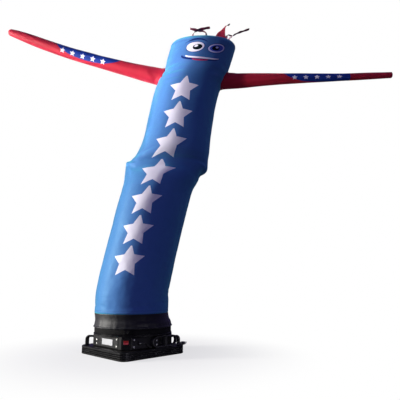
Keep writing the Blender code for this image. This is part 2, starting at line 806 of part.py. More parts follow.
def make_gland(finish):
    """The elbow gland: a boss on the cover plate, and a tapered sleeve along the housing's side."""
    base = PLATE_OUT + FIT_GAP
    out = cord_layers()[0]
    sleeve = (
        # along, half height
        (GLAND_ALONG - 0.013, 0.0055),
        (GLAND_ALONG - 0.010, 0.0085),
        (GLAND_ALONG, 0.0100),
        (GLAND_ALONG + 0.008, 0.0090),
        (CORD_EXIT - 0.008, 0.0062),
        (CORD_EXIT, 0.0052),
    )
    rings = []
    for along, half in sleeve:
        ring = []
        for k in range(16):
            turn = 2 * pi * k / 16
            reach = max(out + half * cos(turn), base)
            ring.append(on_side(1, along, reach, GLAND_HEIGHT + half * sin(turn)))
        rings.append(ring)
    return lofted_solid("cord_gland", rings, finish, sharp=40)


def make_plug(finish, blade_finish):
    """The three-pin plug, lying on the ledge at the tray's right corner."""
    out = cord_layers()[1]
    body = (
        # along, half width, half height
        (PLUG_ALONG, 0.0052, 0.0052),
        (PLUG_ALONG + 0.010, 0.0072, 0.0072),
        (PLUG_ALONG + 0.014, 0.0125, 0.0100),
        (PLUG_ALONG + 0.030, 0.0125, 0.0100),
        (PLUG_ALONG + 0.032, 0.0115, 0.0090),
    )
    rings = []
    for along, half_width, half_height in body:
        ring = []
        for k in range(16):
            turn = 2 * pi * (k + 0.5) / 16
            side, top = cos(turn), sin(turn)
            square = max(abs(side), abs(top)) ** 0.6
            ring.append(
                on_side(1, along, out + half_width * side / square, PLUG_HEIGHT + half_height * top / square)
            )
        rings.append(ring)
    lofted_solid("plug_body", rings, finish, sharp=30)
    face = body[-1][0] + FIT_GAP
    for word, place in (("left", -0.00635), ("right", 0.00635)):
        blade_out = (out + place - 0.00075, out + place + 0.00075)
        up = (PLUG_HEIGHT + 0.0002, PLUG_HEIGHT + 0.0066)
        side_block("plug_blade_" + word, 1, (face, face + 0.017), blade_out, up, blade_finish, 0.0003)
    pin = []
    for along, radius in ((face, 0.0024), (face + 0.018, 0.0024), (face + 0.020, 0.0014)):
        turns = [2 * pi * k / 10 for k in range(10)]
        pin.append(
            [on_side(1, along, out + radius * cos(t), PLUG_HEIGHT - 0.0060 + radius * sin(t)) for t in turns]
        )
    lofted_solid("plug_pin", pin, blade_finish)


def build():
    clear_scene()
    blue = material("blue ripstop nylon", (0.02, 0.10, 0.42), 0.55)
    red = material("red ripstop nylon", (0.42, 0.01, 0.03), 0.55)
    black_cloth = material("black nylon", (0.012, 0.012, 0.013), 0.6)
    webbing = material("black webbing", (0.008, 0.008, 0.008), 0.7)
    black = material("black moulded plastic", (0.010, 0.010, 0.011), 0.45)
    grey = material("dark grey moulded plastic", (0.030, 0.030, 0.032), 0.5)
    plate = material("grey powder-coated steel", (0.055, 0.055, 0.058), 0.5)
    label = material("satin aluminium", (0.60, 0.60, 0.62), 0.4, 0.6)
    steel = material("zinc-plated steel", (0.60, 0.60, 0.58), 0.35, 1.0)
    switch_red = material("red polycarbonate", (0.45, 0.01, 0.01), 0.25)
    rubber = material("black rubber", (0.009, 0.009, 0.009), 0.55)
    brass = material("nickel-plated brass", (0.70, 0.68, 0.62), 0.25, 1.0)

    make_tube(blue)
    make_arm("arm_raised", RAISED_ARM, -1, round_tip(0.023), red)
    blunt = [(1.0, 0.008), (0.90, 0.012)]
    make_arm("arm_level", LEVEL_ARM, 1, blunt, red)
    for name, rows in HAIR.items():
        make_hair(name, rows, red)
    make_collar(black_cloth)
    make_strap(webbing)
    make_buckle(black)
    make_tray(black)
    make_housing(grey)
    make_lid(grey)
    make_outlet(black)
    make_handle("handle_left", -1, black)
    make_handle("handle_right", 1, black)
    make_panels(plate, label, steel)
    make_bezel(black)
    make_rocker(switch_red)
    make_gland(rubber)
    make_cord_stretches(rubber)
    make_hank(rubber)
    make_tie(webbing)
    make_plug(rubber, brass)


build()
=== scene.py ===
"""The looks of an inflatable air dancer: a leaning blue nylon tube with a printed face, two red
sleeves and ribbon hair, sewn to a black collar that is strapped over the outlet of a low blower.

Metres, +Z up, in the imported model's frame. The origin is under the blower's middle, and the face
looks along -Y.
"""

from math import cos, pi, radians, sin, sqrt

import bmesh
import bpy
import numpy as np
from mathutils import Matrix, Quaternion, Vector, noise
from mathutils.bvhtree import BVHTree


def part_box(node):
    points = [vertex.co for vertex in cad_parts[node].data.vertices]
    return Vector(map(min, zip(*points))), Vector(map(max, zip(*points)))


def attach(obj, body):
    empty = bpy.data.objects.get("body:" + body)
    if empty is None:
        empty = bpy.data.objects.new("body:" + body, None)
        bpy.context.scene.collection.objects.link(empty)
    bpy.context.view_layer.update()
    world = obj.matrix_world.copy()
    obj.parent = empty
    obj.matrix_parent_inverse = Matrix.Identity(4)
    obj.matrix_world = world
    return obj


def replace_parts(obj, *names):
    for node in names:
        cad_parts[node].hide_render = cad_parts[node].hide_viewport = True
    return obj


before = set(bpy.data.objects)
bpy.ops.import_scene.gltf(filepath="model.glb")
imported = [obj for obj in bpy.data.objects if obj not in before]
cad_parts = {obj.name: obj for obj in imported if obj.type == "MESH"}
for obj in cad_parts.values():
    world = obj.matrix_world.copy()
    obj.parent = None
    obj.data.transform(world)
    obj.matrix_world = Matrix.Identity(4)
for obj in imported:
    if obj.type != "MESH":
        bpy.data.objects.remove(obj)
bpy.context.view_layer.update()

# The studio: a low camera that looks up at the front, one large soft key lamp far at the left, a weak
# front lamp, and narrow lamps that reach the raised arm's shoulder and the cord. The dim fill is
# violet, so that the blue falls from sky to navy. The floor is plain, pale, and fades into white.
PICTURE = 400
FOCAL_PIXELS = 419
SENSOR = 36.0
CAMERA_PLACE = (0.414, -2.7, 0.42)
CAMERA_TILT = 11.2
FLOOR_REACH = 14.0
FLOOR_FADE, FLOOR_GLOW = (0.25, 1.15), 0.68


def colour(code):
    """An sRGB hex code as linear RGBA."""
    parts = [int(code[i : i + 2], 16) / 255 for i in (0, 2, 4)]
    return (*(p / 12.92 if p <= 0.04045 else ((p + 0.055) / 1.055) ** 2.4 for p in parts), 1.0)


def node(tree, kind, inputs=None, **properties):
    """Adds a node, sets its properties, and gives each input a value, a socket or the first socket
    of a node. Kind is a name without the tree's own prefix, or a node that the tree already has."""
    if isinstance(kind, str):
        kind = tree.nodes.new(kind if "Node" in kind else tree.bl_idname.removesuffix("Tree") + kind)
    for name, value in properties.items():
        setattr(kind, name, value)
    for name, value in (inputs or {}).items():
        value = value.outputs[0] if isinstance(value, bpy.types.Node) else value
        if isinstance(value, bpy.types.NodeSocket):
            tree.links.new(value, kind.inputs[name])
        else:
            kind.inputs[name].default_value = value
    return kind


def new_material(name):
    """A new material, its tree and its shader."""
    made = bpy.data.materials.new(name)
    made.use_nodes = True
    return made, made.node_tree, made.node_tree.nodes["Principled BSDF"]


def placed(name, data):
    """An object of that data in the scene, at the origin."""
    made = bpy.data.objects.new(name, data)
    bpy.context.scene.collection.objects.link(made)
    return made


def soft_lamp(name, place, aim, size, power, tint, spread=180):
    """A rectangular lamp that looks at a place. Spread is the angle of its beam in degrees."""
    data = bpy.data.lights.new(name, "AREA")
    data.spread = radians(spread)
    data.shape = "RECTANGLE"
    data.size, data.size_y = size
    data.energy = power
    data.color = colour(tint)[:3]
    lamp = placed(name, data)
    lamp.location = place
    lamp.rotation_euler = (Vector(aim) - Vector(place)).to_track_quat("-Z", "Y").to_euler()


lens = bpy.data.cameras.new("camera")
lens.sensor_width = SENSOR
lens.lens = FOCAL_PIXELS * SENSOR / PICTURE
camera = placed("camera", lens)
camera.location = CAMERA_PLACE
camera.rotation_euler = (radians(90 + CAMERA_TILT), 0.0, 0.0)
bpy.context.scene.camera = camera
bpy.context.scene.view_settings.view_transform = "Standard"

soft_lamp("key_lamp", (-6.1, -0.70, 1.6), (0.1, 0.0, 1.2), (1.2, 4.0), 930, "FFFCF6")
soft_lamp("arm_lamp", (-4.2, -2.7, 1.1), (0.05, 0.0, 1.86), (0.7, 0.7), 3.0, "FFFCF6", spread=16)
soft_lamp("front_lamp", (-1.6, -3.6, 2.6), (0.2, 0.0, 1.0), (2.0, 2.0), 9, "E6E0FF")
soft_lamp("blower_lamp", (1.9, -2.2, 0.35), (0.1, -0.1, -0.05), (0.7, 0.25), 0.5, "F4F2FF", spread=8)

world = bpy.data.worlds.new("studio")
world.use_nodes = True
tree = world.node_tree
tree.nodes.clear()
fill = node(tree, "Background", {"Color": colour("B3A2FF"), "Strength": 0.22})
white = node(tree, "Background", {"Color": (1, 1, 1, 1), "Strength": 1.0})
seen = node(tree, "MixShader", {0: node(tree, "LightPath"), 1: fill, 2: white})
node(tree, "OutputWorld", {"Surface": seen})
bpy.context.scene.world = world

floor_mesh = bpy.data.meshes.new("studio_floor")
corners = [(x * FLOOR_REACH, y * FLOOR_REACH, -0.0003) for x, y in ((-1, -1), (1, -1), (1, 1), (-1, 1))]
floor_mesh.from_pydata(corners, [], [(0, 1, 2, 3)])
floor = placed("studio_floor", floor_mesh)
# Matt painted board: no gloss, and to the camera its far part is as white as the background
paint, tree, shader = new_material("matt_white_board")
rays = node(tree, "LightPath")
board = node(tree, "Mix", {0: rays, 6: colour("707070"), 7: colour("D8D7D6")}, data_type="RGBA")
node(tree, shader, {"Base Color": board.outputs[2], "Roughness": 0.9})
away = node(tree, "VectorMath", {0: node(tree, "TexCoord").outputs["Object"]}, operation="LENGTH")
fade = {"Value": away.outputs["Value"], "From Min": FLOOR_FADE[0], "From Max": FLOOR_FADE[1]}
fade = node(tree, "MapRange", fade | {"To Min": FLOOR_GLOW}, interpolation_type="SMOOTHSTEP")
fade = node(tree, "Math", {0: fade, 1: rays}, operation="MULTIPLY")
glow = node(tree, "Emission", {"Color": (1, 1, 1, 1), "Strength": 1.0})
glow = node(tree, "MixShader", {0: fade, 1: shader, 2: glow})
node(tree, tree.nodes["Material Output"], {"Surface": glow})
floor_mesh.materials.append(paint)

# The blower's tray, outlet, handles and switch frame are moulded in black ABS, and its housing and
# lid in dark grey ABS, from spark-eroded moulds, so they are finely grained and half matt. Dust lies
# on what faces up.
ABS_GRAIN = 0.9
MOULD_EDGE = 0.0012


def moulded(name, tone, roughness, grain, dust, edge_wear_and_highlight=0.0, sockets=None):
    """Moulded plastic or rubber with a grain in mm, soft edges that are paler, partly worn by
    handling and partly a painted highlight, smears about 50 mm wide, and dust on what faces up."""
    made, tree, shader = new_material(name)
    place = node(tree, "TexCoord").outputs["Object"]
    facing = node(tree, "NewGeometry").outputs["Normal"]
    edge = node(tree, "Bevel", {"Radius": MOULD_EDGE}, samples=4)
    smears = node(tree, "TexNoise", {"Vector": place, "Scale": 19.0, "Detail": 5.0})
    upward = node(tree, "SeparateXYZ", {"Vector": facing}).outputs["Z"]
    upward = {"Value": upward, "From Min": 0.35, "From Max": 1.0, "To Max": dust}
    # Every edge is painted paler: partly wear, partly a painted highlight along it
    bend = node(tree, "VectorMath", {0: edge, 1: facing}, operation="DOT_PRODUCT").outputs["Value"]
    bend = {"Value": bend, "From Min": 0.97, "From Max": 0.80, "To Max": edge_wear_and_highlight}
    tone = colour(tone)
    for cover, shade in ((upward, "8E8A84"), (bend, "7C7C80")):
        cover = {0: node(tree, "MapRange", cover), 1: smears}
        cover = node(tree, "Math", cover, operation="MULTIPLY")
        tone = node(tree, "Mix", {0: cover, 6: tone, 7: colour(shade)}, data_type="RGBA").outputs[2]
    rubbed = {"Value": smears, "From Min": 0.3, "From Max": 0.7}
    rubbed |= {"To Min": roughness - 0.08, "To Max": roughness + 0.1}
    speckle = node(tree, "TexNoise", {"Vector": place, "Scale": 1000 / grain, "Detail": 2.0})
    relief = {"Height": speckle, "Normal": edge, "Strength": 0.35, "Distance": grain / 5000}
    look = {"Base Color": tone, "Roughness": node(tree, "MapRange", rubbed)}
    look["Normal"] = node(tree, "Bump", relief)
    node(tree, shader, look | (sockets or {}))
    return made


def dress(finish, *names):
    """Gives these CAD nodes a better material."""
    for name in names:
        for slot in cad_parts[name].material_slots:
            slot.material = finish


weak_gloss = {"Specular IOR Level": 0.12}
# The number just before the gloss is how pale the edges are painted: wear and painted highlight
black_abs = moulded("black_grained_abs", "050506", 0.38, ABS_GRAIN, 0.02, 0.5, weak_gloss)
grey_abs = moulded("dark_grey_grained_abs", "0A0A0B", 0.40, ABS_GRAIN, 0.02, 0.4, weak_gloss)
dress(black_abs, "base_tray", "outlet_ring", "handle_left", "handle_right", "switch_bezel")
dress(grey_abs, "housing", "housing_lid")

# Short upright ribs stand in the tray's three air grooves, moulded with it, and keep fingers out of
# the intake. They are a regular row all round.
GROOVE_MIDDLES = (0.013, 0.023, 0.033)
RIB_PITCH = 0.0115
RIB_SIZE = (0.0046, 0.0064, 0.0016)
TRAY_HALF, TRAY_CORNER, GROOVE_DEPTH = 0.2325, 0.045, 0.006


def open_tree(name, **inputs):
    """A tree with these inputs, as name=kind, the sockets that bring them, and its output."""
    tree = bpy.data.node_groups.new(name, "GeometryNodeTree")
    for label, kind in inputs.items():
        tree.interface.new_socket(label, in_out="INPUT", socket_type="NodeSocket" + kind)
    tree.interface.new_socket("Pieces", in_out="OUTPUT", socket_type="NodeSocketGeometry")
    return tree, node(tree, "NodeGroupInput").outputs


def close_tree(tree, copies, finish):
    """Makes the copies real and gives them their finish."""
    copies = node(tree, "RealizeInstances", {"Geometry": copies})
    copies = node(tree, "SetMaterial", {"Geometry": copies, "Material": finish})
    node(tree, "NodeGroupOutput", {"Pieces": copies})
    return tree


def row_tree(name, solid, facets):
    """A tree that sets one small solid after another along the base mesh's lines. Size is across
    the line, up from it and along it."""
    tree, given = open_tree(name, Lines="Geometry", Pitch="Float", Size="Vector", Finish="Material")
    line = node(tree, "MeshToCurve", {"Mesh": given["Lines"]})
    line = node(tree, "SetCurveNormal", {"Curve": line}, mode="Z_UP")
    spots = node(tree, "CurveToPoints", {"Curve": line, "Length": given["Pitch"]}, mode="LENGTH")
    piece = node(tree, "Transform", {"Geometry": node(tree, solid, facets), "Scale": given["Size"]})
    row = {"Points": spots, "Instance": piece, "Rotation": spots.outputs["Rotation"]}
    return close_tree(tree, node(tree, "InstanceOnPoints", row), given["Finish"])


def grown(name, base, tree, **given):
    """What a tree makes of a base mesh, as a plain mesh in an object of its own."""
    carrier = placed(name + "_base", base)
    growth = carrier.modifiers.new("growth", "NODES")
    growth.node_group = tree
    for item in tree.interface.items_tree:
        if item.in_out == "INPUT" and item.name.lower() in given:
            growth[item.identifier] = given[item.name.lower()]
    evaluated = carrier.evaluated_get(bpy.context.evaluated_depsgraph_get())
    mesh = bpy.data.meshes.new_from_object(evaluated)
    carrier.modifiers.clear()
    bpy.data.objects.remove(carrier)
    return placed(name, mesh)


def lines_mesh(name, lines, closed=True):
    """A mesh of edges alone, from lists of points."""
    points, edges = [], []
    for line in lines:
        first = len(points)
        points += [tuple(p) for p in line]
        edges += [(first + i, first + i + 1) for i in range(len(line) - 1)]
        if closed:
            edges.append((len(points) - 1, first))
    mesh = bpy.data.meshes.new(name)
    mesh.from_pydata(points, edges, [])
    return mesh


def tray_outline(half, corner, height, steps=8):
    """The tray's outline, a square with round corners that stands on a corner, seen from above."""
    ring = []
    for quarter in range(4):
        for k in range(steps + 1):
            turn = pi / 2 * (quarter + k / steps)
            x = (half - corner) * (1 if quarter in (0, 3) else -1) + corner * cos(turn)
            y = (half - corner) * (1 if quarter in (0, 1) else -1) + corner * sin(turn)
            ring.append(((x - y) / sqrt(2), (x + y) / sqrt(2), height))
    return ring


rib_tree = row_tree("tray_rib_row", "MeshCube", {})
inset = GROOVE_DEPTH / 2 + 0.0002
rib_lines = [tray_outline(TRAY_HALF - inset, TRAY_CORNER - inset, height) for height in GROOVE_MIDDLES]
rib_lines = lines_mesh("tray_rib_lines", rib_lines)
tray_ribs = grown("tray_ribs", rib_lines, rib_tree, pitch=RIB_PITCH, size=RIB_SIZE, finish=black_abs)
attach(tray_ribs, "dancer")

# The cover plates are folded steel sheet, powder coated in dark grey, so they have a fine orange
# peel. The bare rating plate is brushed aluminium, glued on: its fine strokes spread its shine.
PEEL = 1.6
BRUSH = 0.35


def metal(name, tones, roughness, scale, stretch=None):
    """A metal whose tone and gloss wander together, in spots of that scale per metre. Stretch draws
    the spots out into brush strokes along the blower's left front side."""
    made, tree, shader = new_material(name)
    place = node(tree, "TexCoord").outputs["Object"]
    if stretch:
        place = {"Vector": place, "Rotation": (0, 0, radians(45)), "Scale": stretch}
        place = node(tree, "Mapping", place)
    mottle = node(tree, "TexNoise", {"Vector": place, "Scale": scale, "Detail": 3.0})
    tone = {0: mottle, 6: colour(tones[0]), 7: colour(tones[1])}
    gloss = {"Value": mottle, "To Min": roughness[0], "To Max": roughness[1]}
    look = {"Metallic": 1.0, "Base Color": node(tree, "Mix", tone, data_type="RGBA").outputs[2]}
    look["Roughness"] = node(tree, "MapRange", gloss)
    if stretch:
        look["Normal"] = node(tree, "Bump", {"Height": mottle, "Strength": 0.2, "Distance": 0.0001})
    node(tree, shader, look)
    return made


plate_gloss = {"Specular IOR Level": 0.2}
plate_coat = moulded("dark_powder_coated_steel", "101012", 0.38, PEEL, 0.02, 0.3, plate_gloss)
brushed = metal("brushed_aluminium", ("7E7F82", "98999C"), (0.38, 0.56), 1.0, (20, 600, 1000 / BRUSH))
dress(plate_coat, "cover_plate_left", "cover_plate_right")
dress(brushed, "rating_plate")

# Eight pan head screws with a cross recess hold the cover plates. No two stop at the same turn. They
# are zinc-plated steel, with the cloudy bloom of zinc.
SCREW_RADIUS = 0.0055
SCREW_HEAD = (
    # share of the radius, height in mm
    (1.00, 0.0),
    (1.00, 0.7),
    (0.93, 1.2),
    (0.80, 1.5),
    (0.66, 1.7),
)
RECESS = (
    # share of the cross, height in mm
    (1.00, 1.75),
    (0.92, 1.2),
    (0.60, 0.3),
)
RECESS_REACH, RECESS_HALF = 0.0031, 0.0008
SCREW_TURNS = (12, 51, 78, 33, 64, 5, 41, 84)


def cross_reach(turn):
    """How far the recess's cross reaches in a direction."""
    off = abs((turn + pi / 4) % (pi / 2) - pi / 4)
    return min(RECESS_REACH / cos(off), RECESS_HALF / max(sin(off), 1e-6))


def loft(name, rings, finish, cap_start=True, cap_end=True, smooth=50):
    """A closed solid through rings of equal length."""
    steps = len(rings[0])
    shape = bmesh.new()
    verts = [[shape.verts.new(p) for p in ring] for ring in rings]
    for low, high in zip(verts, verts[1:]):
        for k in range(steps):
            n = (k + 1) % steps
            shape.faces.new((low[k], low[n], high[n], high[k]))
    for ring, wanted in ((verts[0], cap_start), (verts[-1], cap_end)):
        if wanted:
            middle = shape.verts.new(sum((v.co for v in ring), Vector()) / steps)
            for k in range(steps):
                shape.faces.new((ring[k], ring[(k + 1) % steps], middle))
    bmesh.ops.recalc_face_normals(shape, faces=shape.faces)
    mesh = bpy.data.meshes.new(name)
    shape.to_mesh(mesh)
    shape.free()
    mesh.shade_smooth()
    mesh.set_sharp_from_angle(angle=radians(smooth))
    mesh.materials.append(finish)
    return placed(name, mesh)


def spread_tree(name):
    """A tree that sets a copy of one piece on each point, turned by the point's own angles."""
    tree, given = open_tree(name, Points="Geometry", Piece="Object", Finish="Material")
    piece = node(tree, "ObjectInfo", {"Object": given["Piece"]}).outputs["Geometry"]
    angles = node(tree, "InputNamedAttribute", {"Name": "facing"}, data_type="FLOAT_VECTOR")
    angles = node(tree, "FunctionNodeEulerToRotation", {"Euler": angles.outputs["Attribute"]})
    spread = {"Points": given["Points"], "Instance": piece, "Rotation": angles}
    return close_tree(tree, node(tree, "InstanceOnPoints", spread), given["Finish"])


zinc = metal("zinc_plated_steel", ("8F9092", "C9C8C2"), (0.24, 0.45), 420.0)
turns = [2 * pi * k / 32 for k in range(32)]
rings = []
for share, height in SCREW_HEAD:
    reach = SCREW_RADIUS * share
    rings.append([(reach * cos(t), reach * sin(t), height / 1000) for t in turns])
for share, height in RECESS:
    reach = [cross_reach(t) * share for t in turns]
    rings.append([(r * cos(t), r * sin(t), height / 1000) for r, t in zip(reach, turns)])
screw_head = loft("screw_head", rings, zinc, smooth=35)

screw_nodes = sorted(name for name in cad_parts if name.startswith("screw_"))
spots, facing = [], []
for name, turn in zip(screw_nodes, SCREW_TURNS):
    low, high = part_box(name)
    middle = (low + high) / 2
    side = -1 if "_left_" in name else 1
    away = Vector((side, -1, 0)).normalized()
    corner = [v.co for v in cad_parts[name].data.vertices]
    base = min(p.dot(away) for p in corner)
    spots.append(middle + away * (base - middle.dot(away)))
    spin = Quaternion((0, 0, 1), radians(turn))
    facing.append((away.to_track_quat("Z", "Y") @ spin).to_euler())
screw_points = bpy.data.meshes.new("screw_points")
screw_points.from_pydata([tuple(p) for p in spots], [], [])
angles = screw_points.attributes.new("facing", "FLOAT_VECTOR", "POINT")
angles.data.foreach_set("vector", [value for angle in facing for value in angle])
screw_tree = spread_tree("screw_spread")
screws = grown("cover_screws", screw_points, screw_tree, piece=screw_head, finish=zinc)
bpy.data.objects.remove(screw_head)
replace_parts(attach(screws, "dancer"), *screw_nodes)

# The rocker of the mains switch is moulded in glossy red polycarbonate, and snaps into its frame.
rocker_gloss = {"IOR": 1.58, "Coat Weight": 0.3}
red_rocker = moulded("glossy_red_polycarbonate", "820E0B", 0.22, 2.0, 0.02, 0.0, rocker_gloss)
dress(red_rocker, "switch_rocker")

# The mains cord: 8 mm rubber flex out of an elbow gland, wound in three turns that stand on edge
# on the tray's ledge inside a webbing tie, and off along the ledge to its moulded plug. The rubber
# is half matt, the tie dull and fuzzy, and the plug's blades are nickel-plated brass, faintly warm.
CORD = 0.008
GLAND_ALONG, GLAND_HEIGHT, GLAND_BASE = -0.092, 0.083, 0.1911
FIRST_LAYER = 0.1978
HANK_ENDS = (0.010, 0.135)
HANK_LOW, HANK_BEND = 0.0545, 0.028
HANK_TURNS, HANK_PITCH = 3, 0.0083
LAST_LAYER = FIRST_LAYER + HANK_PITCH * (HANK_TURNS + 1 / 3)
# Along and up, in the first layer
CORD_LEAD = (
    (-0.0677, 0.0830),
    (-0.0645, 0.0830),
    (-0.0545, 0.0813),
    (-0.0457, 0.0763),
    (-0.0390, 0.0688),
    (-0.0322, 0.0612),
    (-0.0234, 0.0562),
    (-0.0134, 0.0545),
)
# Along and up, in the last layer
CORD_TAIL = (
    (0.1586, 0.0545),
    (0.1645, 0.0550),
    (0.1705, 0.0567),
    (0.1765, 0.0584),
    (0.1820, 0.0590),
    (0.1867, 0.0590),
)
GLAND_SLEEVE = (
    # along from the gland's middle, half height
    (-0.0130, 0.0050),
    (-0.0110, 0.0080),
    (-0.0070, 0.0097),
    (0.0000, 0.0100),
    (0.0060, 0.0097),
    (0.0080, 0.0086),
    (0.0100, 0.0067),
    (0.0115, 0.0078),
    (0.0130, 0.0076),
    (0.0140, 0.0060),
    (0.0155, 0.0067),
    (0.0170, 0.0065),
    (0.0180, 0.0055),
    (0.0195, 0.0060),
    (0.0220, 0.0058),
    (0.0240, 0.0050),
)
TIE_MIDDLE, TIE_WIDTH, TIE_THICKNESS = 0.0725, 0.016, 0.0012


def on_side(side, along, out, up):
    """A place on a front side of the blower, side 1 for the right one and -1 for the left one."""
    return Vector((side * (along + out) / sqrt(2), (along - out) / sqrt(2), up))


def hank_place(run):
    """Along and up, at a distance along the hank's oval line, from the start of its lower run."""
    straight, bend = HANK_ENDS[1] - HANK_ENDS[0], pi * HANK_BEND
    run %= 2 * (straight + bend)
    middle = HANK_LOW + HANK_BEND
    if run < straight:
        return HANK_ENDS[0] + run, HANK_LOW
    if run < straight + bend:
        turn = (run - straight) / HANK_BEND
        return HANK_ENDS[1] + HANK_BEND * sin(turn), middle - HANK_BEND * cos(turn)
    if run < 2 * straight + bend:
        return HANK_ENDS[1] - (run - straight - bend), middle + HANK_BEND
    turn = (run - 2 * straight - bend) / HANK_BEND
    return HANK_ENDS[0] - HANK_BEND * sin(turn), middle + HANK_BEND * cos(turn)


def through(points, steps):
    """A smooth line through points, with that many steps between two of them."""
    points = np.array([tuple(p) for p in points])
    ends = np.vstack([2 * points[0] - points[1], points, 2 * points[-1] - points[-2]])
    t = np.linspace(0, 1, steps, endpoint=False)[:, None]
    line = []
    for a, b, c, d in zip(ends, ends[1:], ends[2:], ends[3:]):
        bent = 2 * a - 5 * b + 4 * c - d, 3 * b - a - 3 * c + d
        line.append((2 * b + (c - a) * t + bent[0] * t**2 + bent[1] * t**3) / 2)
    return np.vstack([*line, points[-1:]])


def squared(count, power):
    """Places round a unit circle that is drawn out towards its square, fully at a power of 1."""
    ring = []
    for k in range(count):
        x, y = cos(2 * pi * k / count), sin(2 * pi * k / count)
        reach = max(abs(x), abs(y)) ** power
        ring.append((x / reach, y / reach))
    return ring


route = [on_side(1, along, FIRST_LAYER, up) for along, up in CORD_LEAD]
straight = HANK_ENDS[1] - HANK_ENDS[0]
hank_length = HANK_TURNS * 2 * (straight + pi * HANK_BEND) + straight
hank_steps = 104
for i in range(hank_steps + 1):
    share = i / hank_steps
    along, up = hank_place(share * hank_length)
    if i == hank_steps:
        along, up = HANK_ENDS[1], HANK_LOW
    route.append(on_side(1, along, FIRST_LAYER + (LAST_LAYER - FIRST_LAYER) * share, up))
route += [on_side(1, along, LAST_LAYER, up) for along, up in CORD_TAIL]
line = through(route, 4)

rubber = moulded("matt_black_rubber", "0B0B0C", 0.42, 1.2, 0.06, 0.0, {"IOR": 1.52})
flex = bpy.data.curves.new("cord_flex", "CURVE")
flex.dimensions = "3D"
flex.bevel_depth = CORD / 2
flex.bevel_resolution = 4
flex.use_fill_caps = True
spline = flex.splines.new("POLY")
spline.points.add(len(line) - 1)
spline.points.foreach_set("co", np.hstack([line, np.ones((len(line), 1))]).ravel())
flex.materials.append(rubber)
cord = placed("cord_flex", flex)

rings = []
for along, half in GLAND_SLEEVE:
    reach = [max(FIRST_LAYER + half * cos(t), GLAND_BASE) for t in turns]
    along += GLAND_ALONG
    rings.append([on_side(1, along, out, GLAND_HEIGHT + half * sin(t)) for t, out in zip(turns, reach)])
gland = loft("gland_sleeve", rings, rubber, smooth=40)

fuzzy = {"Sheen Weight": 0.05, "Specular IOR Level": 0.3}
webbing_black = moulded("black_polyester_webbing", "0A0A0B", 0.72, 1.6, 0.02, 0.0, fuzzy)
inner, outer = FIRST_LAYER - CORD / 2 - 0.0006, LAST_LAYER + CORD / 2 + 0.0006
low, high = HANK_LOW - CORD / 2 - 0.0006, HANK_LOW + 2 * HANK_BEND + CORD / 2 + 0.0006
rings = []
for across, rise in squared(48, 0.82):
    ring = []
    for end, thick in ((-1, 0), (-1, 1), (1, 1), (1, 0)):
        out = (inner + outer) / 2 + ((outer - inner) / 2 + TIE_THICKNESS * thick) * across
        up = (low + high) / 2 + ((high - low) / 2 + TIE_THICKNESS * thick) * rise
        ring.append(on_side(1, TIE_MIDDLE + end * TIE_WIDTH / 2, out, up))
    rings.append(ring)
tie = loft("tie_band", [*rings, rings[0]], webbing_black, cap_start=False, cap_end=False, smooth=60)

nickel = metal("nickel_plated_brass", ("BDB7A6", "DCD8CC"), (0.16, 0.34), 300.0)
dress(nickel, "plug_blade_left", "plug_blade_right", "plug_pin")
dress(rubber, "plug_body")

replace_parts(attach(cord, "dancer"), "cord_lead", "cord_hank", "cord_tail")
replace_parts(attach(gland, "dancer"), "cord_gland")
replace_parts(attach(tie, "dancer"), "cord_tie")

# The collar is a sleeve of coated black nylon with a soft grey shine, sewn to the tube's foot and
# drawn tight over the outlet by the strap. Above the strap its slack stands out as an uneven roll
# with puckers, and it has one seam, left of the middle of the front.
CLOTH = 0.0012
STRAP_LOW, STRAP_HIGH = 0.1315, 0.1585
COLLAR_TIGHT = 0.2318
COLLAR_LEAN = -0.0115
COLLAR_SEAM = 257.0
COLLAR_PROFILE = (
    # run, height, radius, share of the lean, room for puckers in mm
    (0.0, 0.1310, COLLAR_TIGHT, 0.0, 0.0),
    (1.0, 0.1592, COLLAR_TIGHT, 0.0, 0.0),
    (1.4, 0.1612, COLLAR_TIGHT + 0.0040, 0.0, 1.2),
    (2.0, 0.1640, COLLAR_TIGHT + 0.0072, 0.0, 2.0),
    (2.5, 0.1674, COLLAR_TIGHT + 0.0066, 0.0, 2.2),
    (3.0, 0.1720, COLLAR_TIGHT + 0.0030, 0.0, 2.0),
    (4.0, 0.1890, COLLAR_TIGHT + 0.0002, 0.05, 1.2),
    (5.0, 0.2060, COLLAR_TIGHT - 0.0050, 0.4, 0.8),
    (6.0, 0.2220, COLLAR_TIGHT - 0.0063, 0.7, 0.5),
    (7.0, 0.2420, 0.2255, 1.0, 0.0),
)


def between(rows, at):
    """The rows' other columns at values of their first one: cubics that never overshoot the rows."""
    keys, *columns = np.array(rows, float).T
    at = np.asarray(at, float)
    place = np.clip(np.searchsorted(keys, at, side="right") - 1, 0, len(keys) - 2)
    span = np.diff(keys)[place]
    t = np.clip((at - keys[place]) / span, 0, 1)
    found = []
    for column in columns:
        slope = np.diff(column) / np.diff(keys)
        product, total = slope[:-1] * slope[1:], slope[:-1] + slope[1:]
        inner = np.where(product > 0, 2 * product / np.where(product > 0, total, 1), 0)
        tangent = np.concatenate([slope[:1], inner, slope[-1:]])
        start, end = tangent[place] * span, tangent[place + 1] * span
        low, high = column[place], column[place + 1]
        rise = (3 * t**2 - 2 * t**3) * (high - low)
        found.append(low + rise + (t**3 - 2 * t**2 + t) * start + (t**3 - t**2) * end)
    return found


def ripple(turn, height, waves):
    """An uneven ripple from -1 to 1: waves are (count round the tube, drift with height, phase)."""
    total = sum(np.sin(count * turn + drift * height + phase) for count, drift, phase in waves)
    return total / len(waves)


